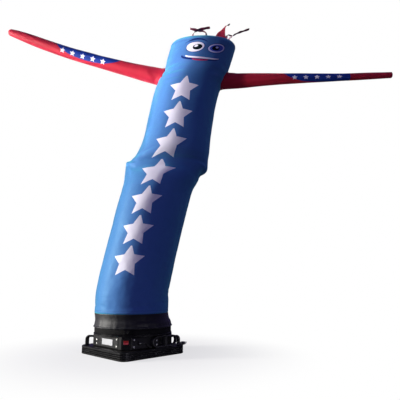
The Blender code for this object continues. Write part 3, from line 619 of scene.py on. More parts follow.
def cloth_sheet(name, grid, us, vs, finish, pole=None, wrapped=True, thickness=CLOTH):
    """A cloth piece: a grid of points with its own UV map in metres, made thick inwards."""
    rows, columns = grid.shape[:2]
    span = columns if wrapped else columns - 1
    faces, corners = [], []
    for r in range(rows - 1):
        for k in range(span):
            a, b = r * columns + k, r * columns + (k + 1) % columns
            faces.append((a, b, b + columns, a + columns))
            corners += [(us[k], vs[r]), (us[k + 1], vs[r]), (us[k + 1], vs[r + 1]), (us[k], vs[r + 1])]
    points = [tuple(p) for p in grid.reshape(-1, 3)]
    if pole is not None:
        last = (rows - 1) * columns
        for k in range(columns):
            faces.append((last + k, last + (k + 1) % columns, len(points)))
            corners += [(us[k], vs[-2]), (us[k + 1], vs[-2]), ((us[k] + us[k + 1]) / 2, vs[-1])]
        points.append(tuple(pole))
    mesh = bpy.data.meshes.new(name)
    mesh.from_pydata(points, [], faces)
    mesh.uv_layers.new(name="UVMap").data.foreach_set("uv", np.array(corners, float).ravel())
    mesh.shade_smooth()
    mesh.materials.append(finish)
    sheet = placed(name, mesh)
    wall = sheet.modifiers.new("cloth", "SOLIDIFY")
    wall.thickness = thickness
    wall.offset = -1.0
    return sheet


def nylon(name, tone, dark_tone, sheen_tint, sockets, prints=None, bump=1.0):
    """Thin ripstop nylon: a satin gloss, a soft sheen, clouds in the dye about 170 mm wide, its
    thicker threads in 5 mm squares, and fine creases across the piece, 110 mm by 26 mm. Prints lay
    their inks over the dye, and dull its sheen."""
    made, tree, shader = new_material(name)
    look = sockets | {"Sheen Tint": colour(sheen_tint)}
    place = node(tree, "UVMap", uv_map="UVMap")
    cloud = node(tree, "TexNoise", {"Vector": place, "Scale": 6.0, "Detail": 4.0})
    dye = {0: cloud, 6: colour(dark_tone), 7: colour(tone)}
    look["Base Color"] = node(tree, "Mix", dye, data_type="RGBA").outputs[2]
    if prints:
        look["Base Color"], covered = prints(tree, place, (look["Base Color"], 0.0))
        if covered:
            bare = node(tree, "Math", {0: 1.0, 1: covered}, operation="SUBTRACT")
            bare = {0: bare, 1: sockets["Sheen Weight"]}
            look["Sheen Weight"] = node(tree, "Math", bare, operation="MULTIPLY")
    satin = {"Value": cloud, "From Min": 0.3, "From Max": 0.7, "To Min": 0.40, "To Max": 0.52}
    look["Roughness"] = node(tree, "MapRange", satin)
    threads = {"Vector": place, "Scale": 1.0, "Mortar Size": 0.0005}
    threads |= {"Brick Width": 0.005, "Row Height": 0.005}
    threads = node(tree, "TexBrick", threads, offset=0.0).outputs["Fac"]
    weave = node(tree, "Bump", {"Height": threads, "Strength": 0.5, "Distance": 0.0002})
    creases = node(tree, "Mapping", {"Vector": place, "Scale": (9.0, 38.0, 1.0)})
    creases = node(tree, "TexNoise", {"Vector": creases, "Scale": 1.0, "Detail": 3.0})
    relief = {"Height": creases, "Normal": weave, "Strength": 0.5, "Distance": 0.004 * bump}
    look["Normal"] = node(tree, "Bump", relief)
    node(tree, shader, look)
    return made


def stitched(name, lines, thread, closed=True):
    """Lockstitch along lines on the cloth."""
    lines = lines_mesh(name + "_lines", lines, closed)
    made = grown(name, lines, stitch_tree, pitch=STITCH_PITCH, size=STITCH_SIZE, finish=thread)
    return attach(made, "dancer")


coated = {"Sheen Weight": 0.13, "Specular IOR Level": 0.3}
black_nylon = nylon("black_ripstop_nylon", "090B0F", "060709", "B8BAC2", coated, bump=0.8)
# Polyester thread is dull and a little fuzzy
blue_thread = moulded("polyester_thread", "1B2A5E", 0.6, 0.4, 0.0)
black_thread = moulded("black_polyester_thread", "1C1C1F", 0.6, 0.4, 0.0)
stitch_tree = row_tree("stitch_row", "MeshUVSphere", {"Segments": 5, "Rings": 4})
STITCH_PITCH = 0.0052
STITCH_SIZE = (0.0005, 0.0005, 0.0019)

turn = radians(90) + np.linspace(0, 2 * pi, 240, endpoint=False)
run = np.concatenate([np.linspace(0, 1, 5), np.linspace(1, 4, 34)[1:], np.linspace(4, 7, 17)[1:]])
height, radius, share, room = (column[:, None] for column in between(COLLAR_PROFILE, run))
puckers = ripple(turn, 0, ((23, 0, 0.4), (31, 0, 2.0), (47, 0, 1.1), (9, 0, 0.3)))
slack = ripple(turn, 0, ((2, 0, 0.7), (5, 0, 2.6), (3, 0, 4.0)))
radius = radius + room / 1000 * (puckers * 0.9 + slack * 0.7)
droop = np.exp(-(((run[:, None] - 2.2) / 0.9) ** 2)) * slack * 0.0016
seam_off = (np.degrees(turn) - COLLAR_SEAM + 180) % 360 - 180
radius = radius + 0.0007 * np.exp(-((seam_off / 1.1) ** 2)) * np.clip(run[:, None] - 2.5, 0, 1)
around = COLLAR_LEAN * share + radius * np.cos(turn)
grid = np.stack([around, radius * np.sin(turn), height - droop], axis=2)
us = (np.append(turn, turn[0] + 2 * pi) - radians(270)) * COLLAR_TIGHT
vs = 0.02 * run
collar = cloth_sheet("collar_cloth", grid, us, vs, black_nylon)
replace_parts(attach(collar, "dancer"), "collar")
hem = grid[-3] + np.stack([np.cos(turn), np.sin(turn), 0 * turn], axis=1) * 0.0004
collar_stitches = stitched("collar_stitches", [hem], black_thread)

# The strap is ribbed polyester webbing, drawn round the collar and through a moulded cam buckle at
# the front, and its tail is folded back flat along it to the right.
WEBBING = 0.0015
STRAP_RADIUS = 0.2321
TAIL_TURNS = (278.0, 301.0)
# The webbing is dull and fuzzy, and ribbed across: ribs 2.2 mm apart, as the warp threads cross them
webbing_ribs, tree, shader = new_material("ribbed_polyester_webbing")
place = node(tree, "UVMap", uv_map="UVMap")
fuzz = node(tree, "TexNoise", {"Vector": place, "Scale": 240.0, "Detail": 3.0})
tone = node(tree, "Mix", {0: fuzz, 6: colour("040405"), 7: colour("080809")}, data_type="RGBA")
ribs = {"Vector": place, "Scale": 1.0, "Mortar Size": 0.0004, "Brick Width": 0.0022}
ribs["Row Height"] = 0.003
ribs = node(tree, "TexBrick", ribs, offset=0.5).outputs["Fac"]
look = {"Specular IOR Level": 0.12, "Base Color": tone.outputs[2]}
look["Roughness"] = node(tree, "MapRange", {"Value": fuzz, "To Min": 0.62, "To Max": 0.8})
look["Normal"] = node(tree, "Bump", {"Height": ribs, "Strength": 0.8, "Distance": -0.0004})
node(tree, shader, look)


def webbing_band(name, turns, radius, wrapped):
    """A length of webbing round the collar, its edges a little rounder than its middle."""
    rise = np.linspace(-1, 1, 9)
    crown = radius + WEBBING - 0.0005 * rise**6
    middle, half = (STRAP_LOW + STRAP_HIGH) / 2, (STRAP_HIGH - STRAP_LOW) / 2
    wander = 0.0003 * ripple(turns, 0, ((2, 0, 1.0), (5, 0, 0.2), (11, 0, 2.0)))
    radii = crown[:, None] + np.abs(wander)
    heights = middle + half * rise[:, None] + 0 * turns
    grid = np.stack([radii * np.cos(turns), radii * np.sin(turns), heights], axis=2)
    us = np.append(turns, turns[0] + 2 * pi) * radius if wrapped else turns * radius
    made = cloth_sheet(name, grid, us, half * rise, webbing_ribs, wrapped=wrapped, thickness=WEBBING)
    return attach(made, "dancer")


strap = webbing_band("strap_webbing", np.linspace(0, 2 * pi, 240, endpoint=False), STRAP_RADIUS, True)
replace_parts(strap, "strap")
tail_turns = np.radians(np.linspace(*TAIL_TURNS, 40))
tail = webbing_band("strap_tail", tail_turns, STRAP_RADIUS + WEBBING + 0.0005, False)
dress(black_abs, "strap_buckle")
# The buckle's cam lever: a moulded plate that is thicker at its thumb end, with four grip ribs
LEVER_FACE, LEVER_MIDDLE = -0.2421, 0.1440
LEVER_HALF, LEVER_RISE = (0.0125, 0.0092), 0.0017
rings = []
for share, rise in ((1.0, 0.0), (1.0, 0.6), (0.96, 0.9), (0.90, 1.0)):
    ring = []
    for x, z in squared(40, 0.85):
        out = rise * LEVER_RISE * (1 + 0.45 * share * x)
        up = LEVER_MIDDLE + LEVER_HALF[1] * share * z
        ring.append((LEVER_HALF[0] * share * x, LEVER_FACE - out, up))
    rings.append(ring)
lever = loft("buckle_lever", rings, black_abs, smooth=40)
grip = [[(x, LEVER_FACE - LEVER_RISE * (1 + 36 * x), LEVER_MIDDLE) for x in (0.0020, 0.0100)]]
grip = lines_mesh("lever_grip_lines", grip, closed=False)
grip = grown("lever_grip", grip, rib_tree, pitch=0.0024, size=(0.0007, 0.0130, 0.0009), finish=black_abs)
for piece in (lever, grip):
    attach(piece, "dancer")

# The tube is one panel of royal blue ripstop nylon, printed, closed by a seam down its back, with a
# round crown sewn in at its top. Air holds it up, but it leans, nods, and is kinked at its waist.
TUBE_RADIUS = 0.2235
CROWN_EDGE, CROWN_DOME = 0.040, 0.014
TUBE_SECTIONS = (
    # height, left, right, depth, sway, nod
    (0.2425, -0.237, 0.214, 0.450, 0.000, 0.0),
    (0.340, -0.236, 0.216, 0.450, 0.000, 0.0),
    (0.450, -0.221, 0.231, 0.450, 0.000, 0.0),
    (0.600, -0.191, 0.262, 0.448, 0.000, 0.0),
    (0.750, -0.158, 0.297, 0.446, 0.000, 0.0),
    (0.900, -0.126, 0.332, 0.445, 0.000, 0.0),
    (1.020, -0.096, 0.366, 0.438, 0.000, 0.0),
    (1.060, -0.086, 0.388, 0.428, 0.000, 0.0),
    (1.100, -0.083, 0.412, 0.405, 0.000, 0.0),
    (1.155, -0.081, 0.462, 0.352, 0.000, 0.0),
    (1.187, -0.079, 0.465, 0.348, 0.000, 0.0),
    (1.216, -0.053, 0.467, 0.394, 0.000, 0.0),
    (1.265, -0.006, 0.474, 0.430, 0.000, 0.0),
    (1.343, 0.028, 0.482, 0.444, 0.000, 0.0),
    (1.480, 0.057, 0.499, 0.446, 0.000, 0.0),
    (1.660, 0.092, 0.532, 0.444, 0.000, 1.0),
    (1.750, 0.116, 0.560, 0.443, 0.003, 3.0),
    (1.850, 0.169, 0.606, 0.443, 0.012, 7.0),
    (1.900, 0.178, 0.622, 0.444, 0.019, 9.0),
    (1.980, 0.200, 0.648, 0.446, 0.034, 13.0),
    (2.018, 0.212, 0.659, 0.446, 0.043, 17.0),
)
TUBE_TOP = TUBE_SECTIONS[-1][0]
CREASE_HEIGHT, CREASE_SLANT, CREASE_WIDTH = 1.178, 0.055, 0.018
CREASE_FRONT, CREASE_SIDE = 0.006, 0.012
TUBE_FOLDS = (
    # turn in degrees, height, half length, half width, depth in mm (out is positive), slant
    # the kink: a sharp crease off the left shoulder, its lip below, and the right shoulder's folds
    (196, 1.214, 0.115, 0.0085, -7.0, -16),
    (192, 1.193, 0.110, 0.0110, 5.0, -12),
    (206, 1.165, 0.120, 0.0100, -3.5, -20),
    (228, 1.244, 0.080, 0.0120, -3.0, 12),
    (178, 1.252, 0.075, 0.0100, -3.5, 10),
    (352, 1.128, 0.110, 0.0090, -6.0, -18),
    (346, 1.150, 0.100, 0.0110, 4.5, -16),
    (330, 1.100, 0.110, 0.0110, -3.0, -24),
    (20, 1.130, 0.120, 0.0090, -5.0, 10),
    (318, 1.190, 0.100, 0.0120, -2.5, -10),
    (60, 1.160, 0.150, 0.0100, -4.5, 6),
    (110, 1.185, 0.140, 0.0100, -4.5, 4),
    (150, 1.215, 0.120, 0.0090, -5.0, 8),
    # slack under the head and round the raised arm
    (205, 1.845, 0.150, 0.0130, -4.5, 4),
    (212, 1.822, 0.160, 0.0120, 3.5, 3),
    (215, 1.795, 0.170, 0.0120, -4.5, -3),
    (222, 1.768, 0.150, 0.0140, 3.0, -5),
    (228, 1.742, 0.150, 0.0130, -3.5, -6),
    (240, 1.700, 0.130, 0.0150, -2.5, -8),
    (250, 1.830, 0.110, 0.0130, -2.5, 7),
    (192, 1.905, 0.080, 0.0120, -2.5, 12),
    (188, 1.735, 0.070, 0.0100, -3.0, 22),
    (300, 1.800, 0.140, 0.0140, -3.0, 5),
    (318, 1.770, 0.120, 0.0120, 2.5, 8),
    (336, 1.850, 0.090, 0.0110, -3.0, -14),
    (330, 1.735, 0.100, 0.0120, -3.0, 12),
    (20, 1.830, 0.120, 0.0120, -3.5, 6),
    (90, 1.800, 0.220, 0.0150, -4.0, 3),
    (140, 1.760, 0.140, 0.0130, -3.5, -8),
    # long pulls down the leaning length
    (200, 0.930, 0.200, 0.0180, -2.0, 82),
    (214, 0.620, 0.240, 0.0200, -1.8, 86),
    (176, 1.480, 0.170, 0.0160, -2.0, 78),
    (336, 0.800, 0.260, 0.0180, -2.2, 98),
    (352, 0.560, 0.200, 0.0160, -2.0, 94),
    (310, 1.420, 0.180, 0.0180, -1.8, 100),
    # small slack just over the collar, and on the concave side of the lean
    (196, 0.292, 0.070, 0.0100, -2.5, 14),
    (232, 0.281, 0.080, 0.0090, -2.0, -8),
    (284, 0.286, 0.090, 0.0100, -2.2, 6),
    (338, 0.300, 0.080, 0.0110, -3.0, -10),
    (352, 0.345, 0.090, 0.0120, -3.0, 8),
    (344, 0.430, 0.080, 0.0120, -2.2, -8),
    (16, 0.385, 0.100, 0.0120, -2.6, 5),
    (100, 0.300, 0.120, 0.0110, -2.5, 4),
)


def folds(rows, turn, height, radius):
    """How far soft troughs and ridges stand out of the cloth, in metres."""
    total = np.zeros(np.broadcast(turn, height).shape)
    for at, middle, length, width, depth, slant in rows:
        round_it = ((turn - radians(at) + pi) % (2 * pi) - pi) * radius
        up = height - middle
        lie = radians(slant)
        along = (round_it * cos(lie) + up * sin(lie)) / length
        over = (up * cos(lie) - round_it * sin(lie)) / width
        over = over + 0.25 * np.sin(3.1 * along + at)
        total += depth / 1000 * np.exp(-(over**2) - along**4)
    return total


def tube_surface(turn, run):
    """The tube's cloth before its folds. Past the top section, run goes on over the crown."""
    height = np.minimum(run, TUBE_TOP)
    left, right, depth, sway, nod = between(TUBE_SECTIONS, height)
    nod = np.radians(nod)
    past = np.maximum(run - TUBE_TOP, 0)
    edge = np.minimum(past / CROWN_EDGE, pi / 2)
    flat = TUBE_RADIUS - CROWN_EDGE
    inner = np.clip((past - CROWN_EDGE * pi / 2) / flat, 0, 1)
    shrink = CROWN_EDGE * (1 - np.cos(edge)) + flat * inner
    lift = CROWN_EDGE * np.sin(edge) + CROWN_DOME * (1 - (1 - inner) ** 2) * (edge > 1.5)
    middle = CREASE_HEIGHT - CREASE_SLANT * np.cos(turn)
    crease = CREASE_FRONT + (CREASE_SIDE - CREASE_FRONT) * np.cos(turn) ** 2
    inward = shrink + crease * 2.0 ** (-(((height - middle) / CREASE_WIDTH) ** 2))
    across = ((right - left) / 2 - inward) * np.cos(turn)
    back = np.maximum(depth / 2 - inward, 0) * np.sin(turn)
    x = (left + right) / 2 + across
    y = -sway + back * np.cos(nod) - lift * np.sin(nod)
    z = height + back * np.sin(nod) + lift * np.cos(nod)
    return np.stack([x, y, z], axis=-1)


def outward(grid):
    """The unit normals of a grid whose columns run round a tube."""
    round_it = np.roll(grid, -1, axis=1) - np.roll(grid, 1, axis=1)
    normal = np.cross(round_it, np.gradient(grid, axis=0))
    return normal / np.maximum(np.linalg.norm(normal, axis=2, keepdims=True), 1e-12)


# The prints, in metres round the tube from the middle of the front, to the right, and in height.
# A row of stars is its first star's place, the pitch, the count and a star's reach.
TUBE_STARS = (0.545, 0.1825, 7, 0.100)
STARS_LEAN = 0.036
STAR_NOTCH = 0.50
WHITE_INK, NAVY_INK, BLACK_INK, RED_INK = "F2EFFA", "16206B", "07070A", "B3355C"
EYES = (
    # middle, half sizes, tilt, ink
    ((-0.035, 1.960), (0.0630, 0.0440), -6, NAVY_INK),
    ((-0.035, 1.960), (0.0590, 0.0405), -6, WHITE_INK),
    ((-0.019, 1.957), (0.0310, 0.0220), -4, BLACK_INK),
    ((-0.030, 1.965), (0.0120, 0.0095), 20, WHITE_INK),
    ((0.112, 1.956), (0.0640, 0.0380), 10, NAVY_INK),
    ((0.112, 1.956), (0.0600, 0.0345), 10, "D4DAFA"),
    ((0.112, 1.956), (0.0480, 0.0250), 10, "4A5CC0"),
    ((0.105, 1.955), (0.0270, 0.0175), 6, BLACK_INK),
    ((0.112, 1.961), (0.0110, 0.0075), 0, "C4CCF4"),
)
CURVES = (
    # an ellipse, less the ellipse that cuts it: middle, half sizes, tilt, cutter's middle and half
    # sizes, ink
    ((-0.042, 1.988), (0.0760, 0.0440), 4, (-0.042, 1.978), (0.0800, 0.0440), NAVY_INK),
    ((0.022, 1.890), (0.1350, 0.0360), -2, (0.030, 1.901), (0.1380, 0.0330), NAVY_INK),
    ((0.036, 1.889), (0.1190, 0.0215), -2, (0.043, 1.899), (0.1250, 0.0195), WHITE_INK),
    ((0.024, 1.864), (0.0540, 0.0140), -1, (0.024, 1.874), (0.0600, 0.0120), RED_INK),
)


def ellipse(tree, place, middle, half, tilt=0.0):
    """1 inside an ellipse on the cloth, and 0 outside it."""
    local = {"Vector": place, "Location": (*middle, 0), "Scale": (*half, 1)}
    local["Rotation"] = (0, 0, radians(tilt))
    local = node(tree, "Mapping", local, vector_type="TEXTURE")
    away = node(tree, "VectorMath", {0: local}, operation="LENGTH").outputs["Value"]
    return node(tree, "Math", {0: away, 1: 1.0}, operation="LESS_THAN")


def star(tree, across, along, reach):
    """1 inside a five-pointed star with its middle where across and along are 0."""
    turned = node(tree, "Math", {0: across, 1: along}, operation="ARCTAN2")
    folded = node(tree, "Math", {0: turned, 1: pi / 5}, operation="PINGPONG")
    flat = node(tree, "CombineXYZ", {"X": across, "Y": along})
    away = node(tree, "VectorMath", {0: flat}, operation="LENGTH").outputs["Value"]
    # The edge runs from a tip, where folded is 0, to a notch, where it is a tenth of a turn
    notch = (STAR_NOTCH * sin(pi / 5), STAR_NOTCH * cos(pi / 5))
    slope = sqrt(notch[0] ** 2 + (1 - notch[1]) ** 2)
    lean = np.arctan2(1 - notch[1], notch[0])
    facing = node(tree, "Math", {0: folded, 1: float(lean)}, operation="SUBTRACT")
    facing = node(tree, "Math", {0: facing}, operation="COSINE")
    facing = node(tree, "Math", {0: facing, 1: away}, operation="MULTIPLY")
    return node(tree, "Math", {0: facing, 1: reach * notch[0] / slope}, operation="LESS_THAN")


def star_row(tree, off, run, row, upright):
    """1 inside a row of stars up the cloth: its first place, pitch, count and reach. Off is how far
    to the side of the row a place is."""
    first, pitch, count, reach = row
    along = node(tree, "Math", {0: run, 1: first}, operation="SUBTRACT")
    along = node(tree, "Math", {0: along, 1: pitch / 2, 2: -pitch / 2}, operation="WRAP")
    within = {0: run, 1: first + pitch * (count - 1) / 2, 2: pitch * count / 2}
    within = node(tree, "Math", within, operation="COMPARE")
    shape = star(tree, off, along, reach) if upright else star(tree, along, off, reach)
    return node(tree, "Math", {0: shape, 1: within}, operation="MULTIPLY")


def inked(tree, ground, mask, ink):
    """The ground, as a colour and how far ink covers it, with an ink over it where the mask is 1."""
    tone, covered = ground
    tone = node(tree, "Mix", {0: mask, 6: tone, 7: colour(ink)}, data_type="RGBA").outputs[2]
    return tone, node(tree, "Math", {0: covered, 1: mask}, operation="MAXIMUM")


def tube_prints(tree, place, ground):
    """A column of plain stars up the front, and a round-eyed face under the crown."""
    split = node(tree, "SeparateXYZ", {"Vector": place}).outputs
    first, pitch, count, reach = TUBE_STARS
    middle = {"Value": split["Y"], "From Min": first, "From Max": first + pitch * (count - 1)}
    middle = node(tree, "MapRange", middle | {"To Min": -STARS_LEAN, "To Max": 0.0})
    off = node(tree, "Math", {0: split["X"], 1: middle}, operation="SUBTRACT")
    ground = inked(tree, ground, star_row(tree, off, split["Y"], TUBE_STARS, True), WHITE_INK)
    for middle, half, tilt, cut_middle, cut_half, ink in CURVES:
        cut = ellipse(tree, place, cut_middle, cut_half, tilt)
        kept = {0: ellipse(tree, place, middle, half, tilt), 1: cut}
        kept = node(tree, "Math", kept, operation="SUBTRACT", use_clamp=True)
        ground = inked(tree, ground, kept, ink)
    for middle, half, tilt, ink in EYES:
        ground = inked(tree, ground, ellipse(tree, place, middle, half, tilt), ink)
    return ground


# The lit side of the blue cloth shines towards cyan
satin = {"Sheen Weight": 0.85, "Sheen Roughness": 0.55, "Specular IOR Level": 0.16}
satin["Specular Tint"] = colour("60F0FF")
blue_nylon = nylon("royal_blue_ripstop_nylon", "4C68B0", "425EA8", "58F2E8", satin, tube_prints)
turn = radians(90) + np.linspace(0, 2 * pi, 160, endpoint=False)
waist, flank = np.arange(1.08, 1.29, 0.0062), np.arange(0.2425, 1.08, 0.0086)
run = np.concatenate([flank[:-1], waist, np.arange(1.296, TUBE_TOP - 0.002, 0.0078)])
crown_run = CROWN_EDGE * pi / 2 + TUBE_RADIUS - CROWN_EDGE
run = np.append(run, TUBE_TOP + np.linspace(0, CROWN_EDGE * pi / 2, 10))
run = np.append(run, TUBE_TOP + np.linspace(CROWN_EDGE * pi / 2, crown_run - 0.003, 14)[1:])
up = run[:, None]
grid = tube_surface(turn, up)
lift = folds(TUBE_FOLDS, turn, up, TUBE_RADIUS)
# Puckers hang from the crown's seam, which stands up as a narrow ridge
below = np.clip((TUBE_TOP + 0.012 - up) / 0.055, 0, 1)
puckers = ripple(turn, 0, ((34, 0, 0.2), (47, 0, 1.7), (61, 0, 0.9), (13, 0, 2.2)))
lift = lift + 0.0017 * puckers * np.exp(-((below / 0.55) ** 2)) * (below > 0)
lift = lift + 0.0012 * np.exp(-(((up - TUBE_TOP - 0.014) / 0.004) ** 2))
# The foot's hem, and a slow unevenness everywhere
lift = lift + 0.0008 * np.exp(-(((up - 0.2500) / 0.004) ** 2))
sway = [[noise.noise((3.0 * cos(t), 3.0 * sin(t), 9.0 * r)) for t in turn] for r in run]
drift = [[noise.noise((9.0 * cos(t), 9.0 * sin(t), 34.0 * r + 5)) for t in turn] for r in run]
calm = np.clip((TUBE_TOP + 0.03 - up) / 0.05, 0.15, 1)
calm = calm * np.clip((up - 0.243) / 0.03, 0, 1)
lift = lift + calm * (0.0022 * np.array(sway) + 0.0008 * np.array(drift))
grid = grid + outward(grid) * lift[:, :, None]
us = (np.append(turn, turn[0] + 2 * pi) - radians(270)) * TUBE_RADIUS
vs = np.append(run, crown_run + TUBE_TOP)
tube = cloth_sheet("tube_cloth", grid, us, vs, blue_nylon, pole=grid[-1].mean(axis=0))
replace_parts(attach(tube, "dancer"), "body_tube")
polygons = [tuple(p.vertices) for p in tube.data.polygons]
tube_tree = BVHTree.FromPolygons([tuple(v.co) for v in tube.data.vertices], polygons)

# Lockstitch: two rows down the back seam, one under the crown's ridge and one over the foot's hem
proud = grid + outward(grid) * 0.0003
crown_row = int(np.argmin(np.abs(run - TUBE_TOP - 0.006)))
seams = [proud[1:-14, 1], proud[1:-14, -2]]
rings = [proud[crown_row], proud[2]]
tube_stitches = [
    stitched("tube_stitches", seams, blue_thread, closed=False),
    stitched("tube_ring_stitches", rings, blue_thread),
]

# The sleeves are tapered tubes of red ripstop nylon, each sewn round its shoulder into the tube and
# closed at its tip. A blue patch with small stars is printed on the upper side of each.
SLEEVE_ROUND, SLEEVE_RINGS = 0.040, 150
RAISED_SLEEVE = (
    # reach, height, girth
    (0.150, 1.826, 0.116),
    (0.030, 1.856, 0.106),
    (-0.100, 1.890, 0.094),
    (-0.260, 1.936, 0.085),
    (-0.480, 2.003, 0.077),
    (-0.670, 2.071, 0.073),
    (-0.790, 2.118, 0.067),
    (-0.880, 2.153, 0.056),
    (-0.928, 2.170, 0.046),
)
LEVEL_SLEEVE = (
    (0.585, 1.797, 0.112),
    (0.740, 1.804, 0.096),
    (0.915, 1.812, 0.079),
    (1.080, 1.818, 0.067),
    (1.250, 1.823, 0.057),
    (1.420, 1.828, 0.048),
    (1.585, 1.836, 0.045),
    (1.700, 1.841, 0.040),
    (1.738, 1.843, 0.039),
)
RAISED_FOLDS = (
    # turn in degrees up from the front, distance from the shoulder, half length along the turn,
    # half width, depth in mm, slant
    (-50, 0.045, 0.055, 0.018, -3.2, 55),
    (-35, 0.075, 0.045, 0.010, 3.0, 50),
    (20, 0.060, 0.060, 0.010, -2.5, 62),
    (80, 0.050, 0.060, 0.010, -3.0, 70),
    (-60, 0.190, 0.080, 0.010, -2.5, 78),
    (10, 0.270, 0.110, 0.008, -1.8, 86),
    (-25, 0.480, 0.130, 0.008, -1.6, 88),
    (70, 0.500, 0.120, 0.008, -2.0, 84),
    (0, 0.780, 0.120, 0.007, -1.5, 86),
    (-20, 0.960, 0.080, 0.007, -1.6, 80),
    (160, 0.200, 0.090, 0.010, -2.5, 80),
    (190, 0.600, 0.140, 0.009, -2.0, 86),
    (30, 1.060, 0.030, 0.006, -1.5, 20),
)
LEVEL_FOLDS = (
    (30, 0.050, 0.060, 0.012, -3.5, 66),
    (-30, 0.070, 0.060, 0.010, -3.5, 70),
    (75, 0.160, 0.090, 0.009, -2.5, 80),
    (0, 0.240, 0.120, 0.008, -1.8, 86),
    (-40, 0.420, 0.120, 0.007, -1.6, 87),
    (10, 0.640, 0.120, 0.006, -1.3, 86),
    (-20, 0.900, 0.100, 0.006, -1.3, 84),
    (20, 1.060, 0.050, 0.006, -1.8, 60),
    (-10, 1.110, 0.030, 0.005, 1.5, 40),
    (170, 0.250, 0.120, 0.009, -2.2, 84),
    (200, 0.700, 0.140, 0.007, -1.6, 86),
)
# Middle and half sizes of the patch, its blunt end or None, and the stars' place round the sleeve
# and row. Run is distance from the shoulder.
RAISED_PATCH = ((0.042, 0.545), (0.077, 0.240), None, -0.012, (0.420, 0.075, 5, 0.021))
LEVEL_PATCH = ((0.044, 0.870), (0.120, 0.465), 0.870, -0.010, (0.482, 0.078, 5, 0.021))
PATCH_INK = "1E3C98"


def sleeve_prints(patch):
    """The prints of one sleeve."""

    def prints(tree, place, ground):
        middle, half, end, stars_place, row = patch
        split = node(tree, "SeparateXYZ", {"Vector": place}).outputs
        mask = ellipse(tree, place, middle, half)
        if end:
            kept = node(tree, "Math", {0: split["Y"], 1: end}, operation="LESS_THAN")
            mask = node(tree, "Math", {0: mask, 1: kept}, operation="MULTIPLY")
        ground = inked(tree, ground, mask, PATCH_INK)
        off = node(tree, "Math", {0: split["X"], 1: stars_place}, operation="SUBTRACT")
        return inked(tree, ground, star_row(tree, off, split["Y"], row, False), WHITE_INK)

    return prints


def sleeve(name, rows, side, tip, rows_of_folds, finish):
    """A tapered sleeve whose shoulder lies on the tube. Tip is its rings past the last row, as
    (share of the girth, length past the row)."""
    keyed = [(side * reach, height, girth) for reach, height, girth in rows]
    first, last = keyed[0][0], keyed[-1][0]
    key = np.linspace(first, last, SLEEVE_RINGS)
    height, girth = between(keyed, key)
    slope = np.gradient(height, key)
    length = np.sqrt(1 + slope**2)
    along = np.stack([side / length, 0 * key, slope / length], axis=1)
    rise = np.stack([-side * slope / length, 0 * key, 1 / length], axis=1)
    middle = np.stack([side * key, 0 * key, height], axis=1)
    radius = girth / 2
    for share, past in tip:
        middle = np.vstack([middle, middle[SLEEVE_RINGS - 1] + along[-1] * past])
        radius = np.append(radius, radius[SLEEVE_RINGS - 1] * share)
    extra = len(tip)
    along = np.vstack([along, np.repeat(along[-1:], extra, axis=0)])
    rise = np.vstack([rise, np.repeat(rise[-1:], extra, axis=0)])
    run = np.concatenate([[0], np.cumsum(np.linalg.norm(np.diff(middle, axis=0), axis=1))])
    # Round the sleeve from behind: under it, up its front and over it, or the other way round on
    # the other side, so that its faces look outwards
    turn = np.linspace(-pi, pi, 48, endpoint=False) * side
    lift = folds(rows_of_folds, turn[None, :], run[:, None], SLEEVE_ROUND)
    scale = radius[:, None] / 0.058
    waves = ripple(turn[None, :], run[:, None], ((3, 9, 0.3), (2, -14, 1.0), (5, 23, 2.0), (4, -31, 0.5)))
    fade = np.clip(run / 0.03, 0, 1) * np.clip((run[-1] - run) / 0.03, 0, 1)
    lift = fade[:, None] * (lift * np.sqrt(scale) + 0.0012 * waves * scale)
    flare = 0.006 * np.exp(-run / 0.008)
    out = radius[:, None] + lift + flare[:, None]
    grid = middle[:, None, :] + out[:, :, None] * (
        np.cos(turn)[None, :, None] * np.array([0, -1, 0]) + np.sin(turn)[None, :, None] * rise[:, None, :]
    )
    # The first rings lie on the tube's cloth, and the next ones lead away from it
    for k in range(len(turn)):
        start = Vector(grid[0, k]) + Vector((side * 0.3, 0, 0))
        hit = tube_tree.ray_cast(start, Vector((-side, 0, 0)))[0]
        shift = hit.x - side * 0.0004 - grid[0, k, 0]
        grid[:, k, 0] += shift * np.clip(1 - run / 0.10, 0, 1) ** 1.5
    us = np.append(turn, turn[0] + 2 * pi * side) * SLEEVE_ROUND
    vs = np.append(run, run[-1] + 0.002)
    pole = grid[-1].mean(axis=0) + along[-1] * 0.0004
    made = cloth_sheet(name, grid, us, vs, finish, pole=pole)
    # Stitches round the shoulder and along the underside's seam
    normal = outward(grid) * side
    root = grid[2] + normal[2] * 0.0003
    under = int(np.argmin(np.abs(np.degrees(turn) + 100)))
    seam = grid[3:-extra - 1, under] + normal[3:-extra - 1, under] * 0.0003
    stitches = [
        stitched(name + "_root_stitches", [root], red_thread),
        stitched(name + "_seam_stitches", [seam], red_thread, closed=False),
    ]
    return made


